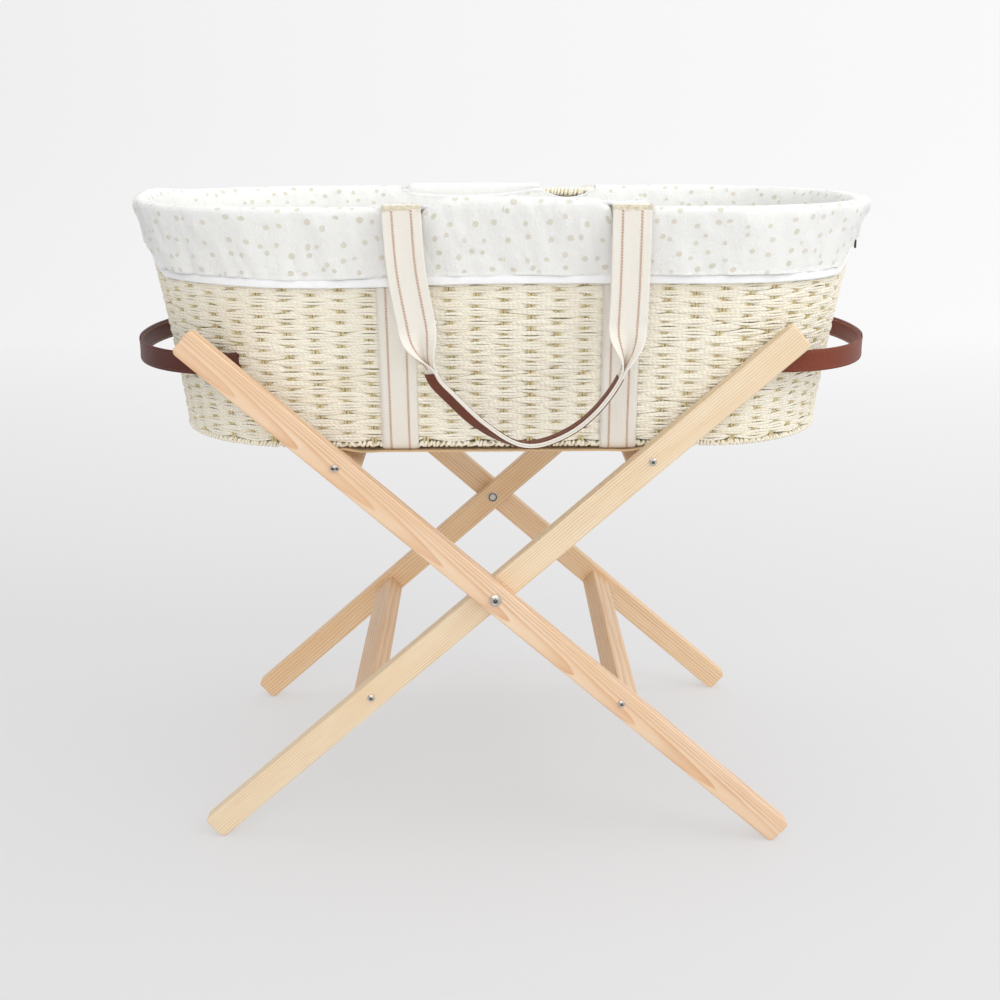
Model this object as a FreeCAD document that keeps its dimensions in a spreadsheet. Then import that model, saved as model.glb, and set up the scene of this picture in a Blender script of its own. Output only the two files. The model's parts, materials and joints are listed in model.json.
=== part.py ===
"""Woven bassinet basket on a folding cross-legged wooden stand.

Frame: X runs along the basket, Y from its front to its back, Z up. The origin is on the floor,
under the middle of the basket. Millimetres.
"""
import FreeCAD, Part
import math
import os

from FreeCAD import Placement, Rotation, Vector
from Sketcher import Constraint as Rule

os.makedirs("parts", exist_ok=True)
doc = FreeCAD.newDocument("bassinet_on_stand")

DIMENSIONS = {
    # Stand
    "stand_offset": -10.0,      # the stand's pivot axis from the basket's middle, along X
    "leg_length": 880.0,
    "leg_width": 31.0,
    "leg_thickness": 19.0,
    "leg_corner": 6.0,          # radius of the corners at the ends of a leg
    "leg_arris": 2.0,           # radius of a leg's long edges
    "leg_angle": 41.5,          # a leg from the floor, in degrees
    "foot_reach": 444.0,        # pivot to foot, along the leg
    "outer_width": 440.0,       # over the outer legs
    "washer_height": 1.0,       # between an outer and an inner leg
    "washer_radius": 9.0,
    "rail_depth": 32.0,         # a rail along the leg
    "rail_height": 24.0,        # a rail across the leg
    "rail_round": 4.0,
    "top_rail_reach": 218.0,    # pivot to the middle of a top rail
    "bottom_rail_reach": 201.0,
    "top_screw_reach": 229.0,
    "bottom_screw_reach": 190.0,
    "top_dowel_reach": 211.0,
    "bottom_dowel_reach": 208.0,
    "dowel_radius": 4.0,
    "dowel_length": 30.0,
    "dowel_in_leg": 10.0,
    "screw_radius": 2.1,
    "screw_length": 46.0,
    "screw_head_radius": 4.2,
    "screw_head_height": 2.4,
    "bolt_radius": 3.0,
    "bolt_clearance": 0.06,
    "bolt_head_radius": 6.7,
    "bolt_head_height": 3.2,
    "strap_width": 36.0,
    "strap_thickness": 1.3,
    "strap_inset": 5.0,         # a safety strap's edge from the inner leg
    # Basket
    "basket_floor": 465.0,      # underside of the basket
    "basket_height": 259.0,     # underside to the top of the woven rim
    "base_half_length": 374.5,
    "base_half_width": 172.0,
    "flare_length": 38.0,       # how much the walls lean out by the rim, at the ends
    "flare_width": 34.0,        # and along the sides
    "flare_power": 1.25,
    "corner_ratio": 0.9,        # plan corner radius over half width
    "wall_thickness": 8.0,
    "border_height": 12.0,
    "base_thickness": 8.0,
    "liner_thickness": 2.0,
    "liner_gap": 0.8,
    "skirt_gap": 2.0,           # room for the webbing bands under the skirt
    "skirt_drop": 70.0,         # the liner's skirt below the rim
    "hem_height": 9.0,
    "mattress_height": 36.0,
    "mattress_gap": 3.0,        # mattress to lining
    "band_width": 40.0,
    "band_thickness": 1.8,
    "band_centre": 7.0,         # midway between the two webbing bands, along X
    "band_spread": 118.0,       # each band from that middle
    "strap_middle": 13.0,       # the same for the hanging carry straps
    "strap_spread": 117.0,
    "handle_axis_out": 219.2,   # a carry handle's hinge line from the middle, along Y
    "handle_axis_up": 724.6,
    "handle_roll": 4.2,         # radius of the webbing's turn over the hinge line
    "handle_thickness": 2.2,
    "grip_end_up": 559.0,
    "grip_low": 480.8,
    "grip_sway": 12.0,          # the grip's middle from the straps' middle
    "grip_spread": 101.0,
    "grip_power": 2.2,          # how full the grip's bow hangs
    "grip_width": 14.0,
    "grip_height": 11.0,
    "end_handle_out": 425.5,    # the outermost point of an end handle
    "end_handle_root": 297.0,   # where it leaves the long sides
    "end_handle_side": 176.6,
    "end_handle_up": 560.0,
    "end_handle_width": 24.0,
    "end_handle_thickness": 3.5,
}

sheet = doc.addObject("Spreadsheet::Sheet", "dims")
for row, (word, number) in enumerate(DIMENSIONS.items(), start=1):
    sheet.set(f"A{row}", word)
    sheet.set(f"B{row}", str(number))
    sheet.setAlias(f"B{row}", word)
doc.recompute()


def dim(word):
    """The sheet's number for one driving dimension."""
    return float(sheet.get(word))


LEG_ANGLE = math.radians(dim("leg_angle"))
SIN = math.sin(LEG_ANGLE)
COS = math.cos(LEG_ANGLE)
CORNER_DROP = dim("leg_corner") * (SIN + COS - 1)
PIVOT_HEIGHT = dim("foot_reach") * SIN + dim("leg_width") / 2 * COS - CORNER_DROP
PIVOT = Vector(dim("stand_offset"), 0, PIVOT_HEIGHT)
OUTER_FACE = dim("outer_width") / 2
OUTER_INSIDE = OUTER_FACE - dim("leg_thickness")
INNER_FACE = OUTER_INSIDE - dim("washer_height")
INNER_INSIDE = INNER_FACE - dim("leg_thickness")
RAIL_DROP = (dim("rail_height") - dim("leg_width")) / 2
BASKET_FLOOR = dim("basket_floor")
RIM_TOP = BASKET_FLOOR + dim("basket_height")
LINER_TOP = RIM_TOP + dim("liner_gap") + dim("liner_thickness")

# A leg's own frame has X along the leg towards its top, Z across it, and Y along the pivot.
# The inner frame's legs rise to the right, and the outer frame's to the left.
TURN = {
    "inner": Rotation(Vector(0, 1, 0), -dim("leg_angle")),
    "outer": Rotation(Vector(0, 1, 0), dim("leg_angle")) * Rotation(Vector(0, 0, 1), 180),
}


# ---------------------------------------------------------------- building blocks

def new_body(label):
    body = doc.addObject("PartDesign::Body", label)
    body.Label = label
    return body


def plane(body, role):
    return next(f for f in body.Origin.OriginFeatures if f.Role == role)


def new_sketch(body, role, offset=0.0):
    """A sketch on one of the body's own origin planes, moved along the plane's normal."""
    sketch = body.newObject("Sketcher::SketchObject", body.Label + "_sketch")
    sketch.AttachmentSupport = [(plane(body, role), "")]
    sketch.MapMode = "FlatFace"
    sketch.AttachmentOffset = Placement(Vector(0, 0, offset), Rotation())
    return sketch


def measure(expression):
    """What an expression of the sheet comes to, as a plain number."""
    return float(sheet.evalExpression(expression))


def set_rules(sketch, rules):
    """Adds (name, constraint, expression) rules, each driven by its expression."""
    for name, constraint, expression in rules:
        index = sketch.addConstraint(constraint)
        sketch.renameConstraint(index, name)
        sketch.setExpression(f"Constraints.{name}", expression)


def rounded_rectangle(sketch, length, width, radius, centre=("0", "0")):
    """A rounded rectangle whose size and centre follow expressions of the sheet."""
    corner = measure(radius)
    middle = Vector(measure(centre[0]), measure(centre[1]), 0)
    half_x, half_y = measure(length) / 2, measure(width) / 2
    in_x, in_y = half_x - corner, half_y - corner
    corners = ((in_x, in_y), (-in_x, in_y), (-in_x, -in_y), (in_x, -in_y))
    for number, (x, y) in enumerate(corners):
        start = number * math.pi / 2
        circle = Part.Circle(middle + Vector(x, y, 0), Vector(0, 0, 1), corner)
        sketch.addGeometry(Part.ArcOfCircle(circle, start, start + math.pi / 2))
    sides = (
        ((in_x, half_y), (-in_x, half_y)),
        ((-half_x, in_y), (-half_x, -in_y)),
        ((-in_x, -half_y), (in_x, -half_y)),
        ((half_x, -in_y), (half_x, in_y)),
    )
    for start, end in sides:
        line = Part.LineSegment(middle + Vector(*start, 0), middle + Vector(*end, 0))
        sketch.addGeometry(line)
    rules = []
    for arc in range(4):
        line = 4 + arc
        rules.append(Rule("Tangent", arc, 2, line, 1))
        rules.append(Rule("Tangent", line, 2, (arc + 1) % 4, 1))
    rules += [Rule("Horizontal", 4), Rule("Vertical", 5)]
    rules += [Rule("Horizontal", 6), Rule("Vertical", 7)]
    rules += [Rule("Equal", 0, 1), Rule("Equal", 1, 2)]
    sketch.addConstraint(rules)
    set_rules(sketch, [
        ("radius", Rule("Radius", 0, corner), radius),
        ("span_x", Rule("DistanceX", 1, 3, 0, 3, 2 * in_x), f"({length}) - 2 * ({radius})"),
        ("span_y", Rule("DistanceY", 3, 3, 0, 3, 2 * in_y), f"({width}) - 2 * ({radius})"),
        ("place_x", Rule("DistanceX", -1, 1, 0, 3, middle.x + in_x),
         f"({centre[0]}) + ({length}) / 2 - ({radius})"),
        ("place_y", Rule("DistanceY", -1, 1, 0, 3, middle.y + in_y),
         f"({centre[1]}) + ({width}) / 2 - ({radius})"),
    ])
    return sketch


def pad(body, sketch, length, symmetric=False):
    feature = body.newObject("PartDesign::Pad", body.Label + "_pad")
    feature.Profile = sketch
    if symmetric:
        feature.SideType = "Symmetric"
    feature.setExpression("Length", length)
    doc.recompute()
    return feature


def pocket(body, sketch, depth=None):
    """Cuts the sketch into the body: depth is an expression, and none cuts right through."""
    before = body.Shape.Volume
    feature = body.newObject("PartDesign::Pocket", body.Label + "_pocket")
    feature.Profile = sketch
    if depth is None:
        feature.Type = "ThroughAll"
        feature.SideType = "Symmetric"
    else:
        feature.setExpression("Length", depth)
    doc.recompute()
    if depth is not None and before - body.Shape.Volume < 1.0:
        feature.Reversed = True
        doc.recompute()
    if before - body.Shape.Volume < 1.0:
        raise RuntimeError(f"{body.Label}: a pocket cut nothing")
    return feature


def circles(sketch, holes):
    """Circles of (centre x, centre y, radius), each an expression of the sheet."""
    for number, (x, y, radius) in enumerate(holes):
        place = Vector(measure(x), measure(y), 0)
        sketch.addGeometry(Part.Circle(place, Vector(0, 0, 1), measure(radius)))
        set_rules(sketch, [
            (f"place{number}_x", Rule("DistanceX", -1, 1, number, 3, place.x), x),
            (f"place{number}_y", Rule("DistanceY", -1, 1, number, 3, place.y), y),
            (f"radius{number}", Rule("Radius", number, measure(radius)), radius),
        ])
    return sketch


def loft(body, kind, sections):
    feature = body.newObject(f"PartDesign::{kind}", body.Label + "_loft")
    feature.Profile = sections[0]
    feature.Sections = sections[1:]
    feature.Ruled = False
    doc.recompute()
    return feature


def fillet(body, feature, edges, radius):
    rounding = body.newObject("PartDesign::Fillet", body.Label + "_fillet")
    rounding.Base = (feature, edges)
    rounding.setExpression("Radius", radius)
    doc.recompute()
    return rounding


def edges_where(shape, test):
    return [f"Edge{i}" for i, edge in enumerate(shape.Edges, start=1) if test(edge)]


def plain_solid(label, shape, placement=None):
    """A sub-part whose shape is worked out here from the sheet's numbers."""
    feature = doc.addObject("Part::Feature", label)
    feature.Label = label
    feature.Shape = shape
    if placement is not None:
        feature.Placement = placement
    return feature


def compound(label, shapes, placement=None):
    return plain_solid(label, Part.makeCompound(shapes), placement)


# ---------------------------------------------------------------- stand

def stand_leg(label, frame, inward):
    """One leg. inward is +1 where the stand's inside is on the leg's own +Y side, else -1."""
    body = new_body(label)
    outline = rounded_rectangle(
        new_sketch(body, "XZ_Plane"), "dims.leg_length", "dims.leg_width", "dims.leg_corner",
        ("dims.leg_length / 2 - dims.foot_reach", "0"))
    block = pad(body, outline, "dims.leg_thickness", symmetric=True)
    half = dim("leg_thickness") / 2
    rims = edges_where(block.Shape, lambda e: all(abs(abs(v.Y) - half) < 0.01 for v in e.Vertexes))
    fillet(body, block, rims, "dims.leg_arris")
    bolt = "dims.bolt_radius" if frame == "inner" else "dims.bolt_radius + dims.bolt_clearance"
    holes = [
        ("0", "0", bolt),
        ("dims.top_screw_reach", "0", "dims.screw_radius"),
        ("-dims.bottom_screw_reach", "0", "dims.screw_radius"),
    ]
    pocket(body, circles(new_sketch(body, "XZ_Plane"), holes))
    sockets = [
        ("dims.top_dowel_reach", str(RAIL_DROP), "dims.dowel_radius"),
        ("-dims.bottom_dowel_reach", str(RAIL_DROP), "dims.dowel_radius"),
    ]
    # The XZ plane's normal points along -Y.
    floor = half - dim("dowel_in_leg")
    socket_sketch = circles(new_sketch(body, "XZ_Plane", -inward * floor), sockets)
    cut = body.newObject("PartDesign::Pocket", body.Label + "_sockets")
    before = body.Shape.Volume
    cut.Profile = socket_sketch
    cut.setExpression("Length", "dims.leg_thickness")
    cut.Reversed = inward > 0
    doc.recompute()
    socket_volume = 2 * math.pi * dim("dowel_radius") ** 2 * dim("dowel_in_leg")
    if abs(before - body.Shape.Volume - socket_volume) > 1.0:
        cut.Reversed = not cut.Reversed
        doc.recompute()
    if abs(before - body.Shape.Volume - socket_volume) > 1.0:
        raise RuntimeError(f"{label}: the dowel sockets are on the wrong side")
    return body


def place_leg(body, frame, side):
    """side is -1 for the front leg of a frame and +1 for its rear leg."""
    outside = OUTER_FACE if frame == "outer" else INNER_FACE
    middle = outside - dim("leg_thickness") / 2
    body.Placement = Placement(PIVOT + Vector(0, side * middle, 0), TURN[frame])


def stand_rail(label, frame, end, reach, screw, dowel):
    """A cross rail. end is +1 for a top rail and -1 for a bottom one."""
    body = new_body(label)
    inside = OUTER_INSIDE if frame == "outer" else INNER_INSIDE
    outline = rounded_rectangle(
        new_sketch(body, "XZ_Plane"), "dims.rail_depth", "dims.rail_height", "dims.rail_round",
        (f"{end} * dims.{reach}", "(dims.rail_height - dims.leg_width) / 2"))
    pad(body, outline, str(2 * inside), symmetric=True)
    screw_depth = dim("screw_length") - dim("leg_thickness") + 1
    dowel_depth = dim("dowel_length") - dim("dowel_in_leg")
    for side in (-1, 1):
        for hole_reach, drop, radius, depth in (
            (screw, "0", "dims.screw_radius", screw_depth),
            (dowel, str(RAIL_DROP), "dims.dowel_radius", dowel_depth),
        ):
            mouth = new_sketch(body, "XZ_Plane", side * inside)
            circles(mouth, [(f"{end} * dims.{hole_reach}", drop, radius)])
            pocket(body, mouth, str(depth))
    body.Placement = Placement(PIVOT, TURN[frame])
    return body


def dome_head(radius, height, rise):
    """A domed head with its flat face on Z = 0, facing up."""
    curve = (radius ** 2 + rise ** 2) / (2 * rise)
    ball = Part.makeSphere(curve, Vector(0, 0, height - curve))
    return ball.common(Part.makeCylinder(radius, height + 1))


def screw_solid():
    """A screw along +Y: its head's underside is on Y = 0 and its head is on the -Y side."""
    head = dome_head(dim("screw_head_radius"), dim("screw_head_height"), 1.5)
    recess = Part.makeBox(1.0, 5.0, 1.2, Vector(-0.5, -2.5, dim("screw_head_height") - 1.0))
    recess = recess.fuse(Part.makeBox(5.0, 1.0, 1.2, Vector(-2.5, -0.5, dim("screw_head_height") - 1.0)))
    shank_length = dim("screw_length")
    shank = Part.makeCylinder(dim("screw_radius"), shank_length, Vector(0, 0, -shank_length))
    screw = head.cut(recess).fuse(shank).removeSplitter()
    screw.rotate(Vector(), Vector(1, 0, 0), 90)
    return screw


def frame_screws(label, frame):
    outside = OUTER_FACE if frame == "outer" else INNER_FACE
    solids = []
    for reach in (dim("top_screw_reach"), -dim("bottom_screw_reach")):
        for side in (-1, 1):
            screw = screw_solid()
            if (side > 0) == (frame == "inner"):
                screw.rotate(Vector(), Vector(0, 0, 1), 180)
            local_y = side * outside if frame == "inner" else -side * outside
            screw.translate(Vector(reach, local_y, 0))
            solids.append(screw)
    return compound(label, solids, Placement(PIVOT, TURN[frame]))


def frame_dowels(label, frame):
    inside = OUTER_INSIDE if frame == "outer" else INNER_INSIDE
    start = inside + dim("dowel_in_leg") - dim("dowel_length")
    solids = []
    for reach in (dim("top_dowel_reach"), -dim("bottom_dowel_reach")):
        for side in (-1, 1):
            foot = Vector(reach, side * start, RAIL_DROP)
            solids.append(Part.makeCylinder(
                dim("dowel_radius"), dim("dowel_length"), foot, Vector(0, side, 0)))
    return compound(label, solids, Placement(PIVOT, TURN[frame]))


def pivot_bolt(label, side):
    """The bolt through an outer and an inner leg, with a ringed head on the outer one."""
    radius = dim("bolt_head_radius")
    height = dim("bolt_head_height")
    head = dome_head(radius, height, 1.6)
    ring = Part.makeCylinder(3.9, 2, Vector(0, 0, height - 0.9))
    ring = ring.cut(Part.makeCylinder(2.9, 2, Vector(0, 0, height - 0.9)))
    socket = Part.makeCylinder(1.5, 2, Vector(0, 0, height - 1.4))
    length = 2 * dim("leg_thickness") + dim("washer_height")
    shank = Part.makeCylinder(dim("bolt_radius"), length, Vector(0, 0, -length))
    bolt = head.cut(ring).cut(socket).fuse(shank).removeSplitter()
    place = PIVOT + Vector(0, side * OUTER_FACE, 0)
    return plain_solid(label, bolt, Placement(place, Rotation(Vector(1, 0, 0), -90 * side)))


def pivot_cap(label, side):
    """The round cap nut on the inside of an inner leg."""
    cap = dome_head(dim("bolt_head_radius"), 2.2, 0.7)
    place = PIVOT + Vector(0, side * INNER_INSIDE, 0)
    return plain_solid(label, cap, Placement(place, Rotation(Vector(1, 0, 0), 90 * side)))


def pivot_washers(label):
    solids = []
    for side in (-1, 1):
        foot = PIVOT + Vector(0, side * INNER_FACE, 0)
        along = Vector(0, side, 0)
        disc = Part.makeCylinder(dim("washer_radius"), dim("washer_height"), foot, along)
        bore = Part.makeCylinder(dim("bolt_radius"), dim("washer_height"), foot, along)
        solids.append(disc.cut(bore))
    return compound(label, solids)


def safety_strap(label, side):
    """Webbing between the two top rails: slack between them, and turned down their outer faces."""
    top = BASKET_FLOOR - 0.3
    sag = 2.2
    thick = dim("strap_thickness")
    rail_end = dim("top_rail_reach") + dim("rail_depth") / 2
    rail_top = RAIL_DROP + dim("rail_height") / 2
    turn_x = rail_end * COS - rail_top * SIN + dim("rail_round") * 0.4 + 0.6
    tail = 24.0
    slide = thick * math.tan((math.pi / 2 - LEG_ANGLE) / 2)
    outer = [(turn_x + tail * SIN, top - tail * COS), (turn_x, top),
             (turn_x - 7, top), (turn_x - 17.5, top - sag)]
    inner = [(turn_x + tail * SIN - thick * COS, top - tail * COS - thick * SIN),
             (turn_x - slide, top - thick), (turn_x - 7, top - thick),
             (turn_x - 17.5, top - sag - thick)]
    upper = outer + [(-x, z) for x, z in reversed(outer)]
    lower = inner + [(-x, z) for x, z in reversed(inner)]
    points = [Vector(x + PIVOT.x, 0, z) for x, z in upper + lower[::-1]]
    solid = Part.Face(Part.makePolygon(points + [points[0]])).extrude(
        Vector(0, dim("strap_width"), 0))
    near = INNER_INSIDE - dim("strap_inset") - dim("strap_width")
    start = near if side > 0 else -near - dim("strap_width")
    solid.translate(Vector(0, start, 0))
    return plain_solid(label, solid)


for frame in ("inner", "outer"):
    for place, side in (("front", -1), ("rear", 1)):
        # The outer frame's own Y runs the other way, and so do its inward sides.
        inward = -side if frame == "inner" else side
        place_leg(stand_leg(f"{frame}_leg_{place}", frame, inward), frame, side)
    stand_rail(f"{frame}_top_rail", frame, 1, "top_rail_reach", "top_screw_reach",
               "top_dowel_reach")
    stand_rail(f"{frame}_bottom_rail", frame, -1, "bottom_rail_reach", "bottom_screw_reach",
               "bottom_dowel_reach")
    frame_screws(f"{frame}_frame_screws", frame)
    frame_dowels(f"{frame}_frame_dowels", frame)
for place, side in (("front", -1), ("rear", 1)):
    pivot_bolt(f"pivot_bolt_{place}", side)
    pivot_cap(f"pivot_cap_{place}", side)
    safety_strap(f"safety_strap_{place}", side)
pivot_washers("pivot_washers")


# ---------------------------------------------------------------- basket

def flare(height):
    """How far the wall has leaned out at this height, from 0 at the base to 1 at the rim."""
    rise = max(0.0, (height - BASKET_FLOOR) / dim("basket_height"))
    return rise ** dim("flare_power")


def half_length(height):
    return dim("base_half_length") + dim("flare_length") * flare(height)


def half_width(height):
    return dim("base_half_width") + dim("flare_width") * flare(height)


def plan_sketch(body, height, offset):
    """The basket's plan outline at one height, moved outward by offset."""
    rise = f"max(0; ({height} - dims.basket_floor) / dims.basket_height)"
    lean = f"({rise}) ^ dims.flare_power"
    length = f"2 * (dims.base_half_length + dims.flare_length * {lean} + {offset})"
    width = f"2 * (dims.base_half_width + dims.flare_width * {lean} + {offset})"
    radius = f"dims.corner_ratio * (dims.base_half_width + dims.flare_width * {lean}) + {offset}"
    return rounded_rectangle(new_sketch(body, "XY_Plane", height), length, width, radius)


def plan_loft(body, kind, low, high, offset, steps=4):
    heights = [low + (high - low) * step / steps for step in range(steps + 1)]
    return loft(body, kind, [plan_sketch(body, height, offset) for height in heights])


def plan_ring(label, low, high, outer, inner, steps=4):
    """A closed ring that follows the basket's wall between two heights."""
    body = new_body(label)
    plan_loft(body, "AdditiveLoft", low, high, outer, steps)
    before = body.Shape.Volume
    plan_loft(body, "SubtractiveLoft", low, high, inner, steps)
    if before - body.Shape.Volume < 1.0:
        raise RuntimeError(f"{label}: the ring is not open")
    return body


WALL = dim("wall_thickness")
BORDER = dim("border_height")
wall_low = BASKET_FLOOR + BORDER
wall_high = RIM_TOP - BORDER
plan_ring("basket_wall", wall_low, wall_high, 0.0, -WALL)
plan_ring("basket_rim_border", wall_high, RIM_TOP, 2.0, -WALL - 2.0, steps=1)

foot = plan_ring("basket_foot_border", BASKET_FLOOR, wall_low, 1.0, -WALL - 2.0, steps=1)
outside = edges_where(
    foot.Shape,
    lambda e: abs(e.BoundBox.ZMax - BASKET_FLOOR) < 0.01 and any(
        abs(v.X) > half_length(BASKET_FLOOR) or abs(v.Y) > half_width(BASKET_FLOOR)
        for v in e.Vertexes))
fillet(foot, foot.Tip, outside, "7")

base = new_body("basket_base")
pad(base, plan_sketch(base, BASKET_FLOOR + 1, -WALL - 2.4), "dims.base_thickness")

# The liner: a skirt outside the rim, a turn over it, and a lining down to the base.
liner = new_body("liner")
GAP = dim("liner_gap")
CLOTH = dim("liner_thickness")
skirt_low = LINER_TOP - dim("skirt_drop")
skirt_in = 2.0 + dim("skirt_gap")
lining_out = -WALL - 2.0 - GAP
lining_low = BASKET_FLOOR + dim("base_thickness") + 3
plan_loft(liner, "AdditiveLoft", skirt_low, LINER_TOP, skirt_in + CLOTH, 1)
plan_loft(liner, "SubtractiveLoft", skirt_low, RIM_TOP + GAP, skirt_in, 1)
plan_loft(liner, "AdditiveLoft", lining_low, LINER_TOP, lining_out)
plan_loft(liner, "SubtractiveLoft", lining_low, LINER_TOP, lining_out - CLOTH)

plan_ring("liner_hem_binding", skirt_low - dim("hem_height"), skirt_low, skirt_in + CLOTH,
          skirt_in - 0.4, steps=1)

mattress = new_body("mattress")
mattress_low = BASKET_FLOOR + 1 + dim("base_thickness") + 0.4
mattress_inset = lining_out - CLOTH - dim("mattress_gap")
slab = pad(mattress, plan_sketch(mattress, mattress_low, mattress_inset), "dims.mattress_height")
rounded = edges_where(slab.Shape, lambda e: e.BoundBox.ZLength < 0.01)
fillet(mattress, slab, rounded, "10")

# Webbing bands: up one side of the basket, under its base and up the other side.
def webbing_band(label, side):
    gap = 0.5
    thick = dim("band_thickness")
    top = skirt_low + 46
    heights = [top + (wall_low + 2 - top) * step / 4 for step in range(5)]
    floor = BASKET_FLOOR - 0.1

    def profile(away, under):
        wall = [(half_width(z) + away, z) for z in heights]
        turn = [(dim("base_half_width") + 1 + away, BASKET_FLOOR + 5),
                (dim("base_half_width") - 2 + away, under)]
        half = wall + turn
        return half + [(-y, z) for y, z in reversed(half)]

    outer = profile(gap + thick + 1.0, floor - thick)
    inner = profile(gap + 1.0, floor)
    points = [Vector(0, y, z) for y, z in outer + list(reversed(inner))]
    face = Part.Face(Part.makePolygon(points + [points[0]]))
    solid = face.extrude(Vector(dim("band_width"), 0, 0))
    x = dim("band_centre") + side * dim("band_spread") - dim("band_width") / 2
    return plain_solid(label, solid, Placement(Vector(x, 0, 0), Rotation()))


webbing_band("webbing_band_left", -1)
webbing_band("webbing_band_right", 1)


# ---------------------------------------------------------------- carry handles

AXIS_OUT = dim("handle_axis_out")
AXIS_UP = dim("handle_axis_up")
ROLL = dim("handle_roll")
STRAP = dim("handle_thickness")
STRAP_MIDDLE = dim("strap_middle")
STRAP_SPREAD = dim("strap_spread")
STRAP_INSIDE = AXIS_OUT + ROLL - STRAP - 0.1
GRIP_END_UP = dim("grip_end_up")
GRIP_MIDDLE = STRAP_MIDDLE + dim("grip_sway")
GRIP_SPREAD = dim("grip_spread")


def strap_root(label, side):
    """The two short ends of webbing that come out over the rim to a handle's hinge line."""
    solids = []
    for end in (-1, 1):
        x = STRAP_MIDDLE + end * STRAP_SPREAD - dim("band_width") / 2
        inner = half_width(RIM_TOP) - WALL
        outer = AXIS_OUT - 4.0
        thick = 1.6
        y = -outer if side < 0 else inner
        corner = Vector(x, y, LINER_TOP + 0.2)
        solids.append(Part.makeBox(dim("band_width"), outer - inner, thick, corner))
    return compound(label, solids)


def carry_strap(label, side, end):
    """One hanging strap of a carry handle, narrowing to the grip, with the turn at its top."""
    top_x = STRAP_MIDDLE + end * STRAP_SPREAD
    foot_x = GRIP_MIDDLE + end * GRIP_SPREAD
    full = dim("band_width")
    # How far down the strap, how far across towards its foot, and how wide it is there.
    stations = ((0.0, 0.0, full), (0.5, 0.3, full), (0.76, 0.55, 0.97 * full),
                (0.88, 0.8, 0.7 * full), (1.0, 1.0, 0.4 * full))
    left, right = [], []
    for down, across, wide in stations:
        x = top_x + (foot_x - top_x) * across
        z = AXIS_UP + (GRIP_END_UP + 4 - AXIS_UP) * down
        left.append(Vector(x - wide / 2, 0, z))
        right.append(Vector(x + wide / 2, 0, z))
    corners = left + right[::-1]
    strap = Part.Face(Part.makePolygon(corners + [corners[0]])).extrude(Vector(0, STRAP, 0))
    strap.translate(Vector(0, STRAP_INSIDE if side > 0 else -STRAP_INSIDE - STRAP, 0))
    centre = Vector(top_x - full / 2, side * AXIS_OUT, AXIS_UP)
    roll = Part.makeCylinder(ROLL, full, centre, Vector(1, 0, 0))
    return plain_solid(label, strap.fuse(roll))


def carry_grip(label, side):
    """The leather grip: a hanging bow round the folded webbing, between the two straps."""
    low = dim("grip_low") + dim("grip_height") / 2
    rise = GRIP_END_UP - low
    half = dim("grip_height") / 2
    lower, upper = [], []
    for step in range(-6, 7):
        u = step / 6
        x = GRIP_MIDDLE + GRIP_SPREAD * u
        z = low + rise * abs(u) ** dim("grip_power")
        slope = math.copysign(abs(u) ** (dim("grip_power") - 1), u) * dim("grip_power")
        lean = math.atan(slope * rise / GRIP_SPREAD)
        normal = Vector(-math.sin(lean), 0, math.cos(lean))
        lower.append(Vector(x, 0, z) - normal * half)
        upper.append(Vector(x, 0, z) + normal * half)
    edges = []
    for points in (lower, upper[::-1]):
        curve = Part.BSplineCurve()
        curve.interpolate(points)
        edges.append(curve.toShape())
    ends = [Part.LineSegment(lower[-1], upper[-1]).toShape(),
            Part.LineSegment(upper[0], lower[0]).toShape()]
    outline = Part.Wire([edges[0], ends[0], edges[1], ends[1]])
    depth = dim("grip_width")
    bow = Part.Face(outline).extrude(Vector(0, depth, 0))
    bow.translate(Vector(0, STRAP_INSIDE if side > 0 else -STRAP_INSIDE - depth, 0))
    return plain_solid(label, bow)


for place, side in (("front", -1), ("rear", 1)):
    strap_root(f"strap_roots_{place}", side)
    carry_strap(f"carry_strap_{place}_left", side, -1)
    carry_strap(f"carry_strap_{place}_right", side, 1)
    carry_grip(f"carry_grip_{place}", side)


# ---------------------------------------------------------------- leather end handles

def end_handle(label, side):
    """A leather strap round one end of the basket, standing out from the wall."""
    body = new_body(label)
    outer = ("2 * dims.end_handle_out", "2 * dims.end_handle_side",
             "dims.end_handle_out - dims.end_handle_root")
    inner = tuple("{0} - {1} * dims.end_handle_thickness".format(text, count)
                  for text, count in zip(outer, (2, 2, 1)))
    low = dim("end_handle_up") - dim("end_handle_width") / 2
    pad(body, rounded_rectangle(new_sketch(body, "XY_Plane", low), *outer), "dims.end_handle_width")
    pocket(body, rounded_rectangle(new_sketch(body, "XY_Plane", low), *inner))
    rest = new_sketch(body, "XY_Plane", low)
    rounded_rectangle(rest, "2 * dims.end_handle_out + 100 + dims.end_handle_root", "600", "1",
                      ("-dims.end_handle_out - 50 + dims.end_handle_root / 2", "0"))
    pocket(body, rest)
    turn = 0 if side > 0 else 180
    body.Placement = Placement(Vector(), Rotation(Vector(0, 0, 1), turn))
    return body


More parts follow.
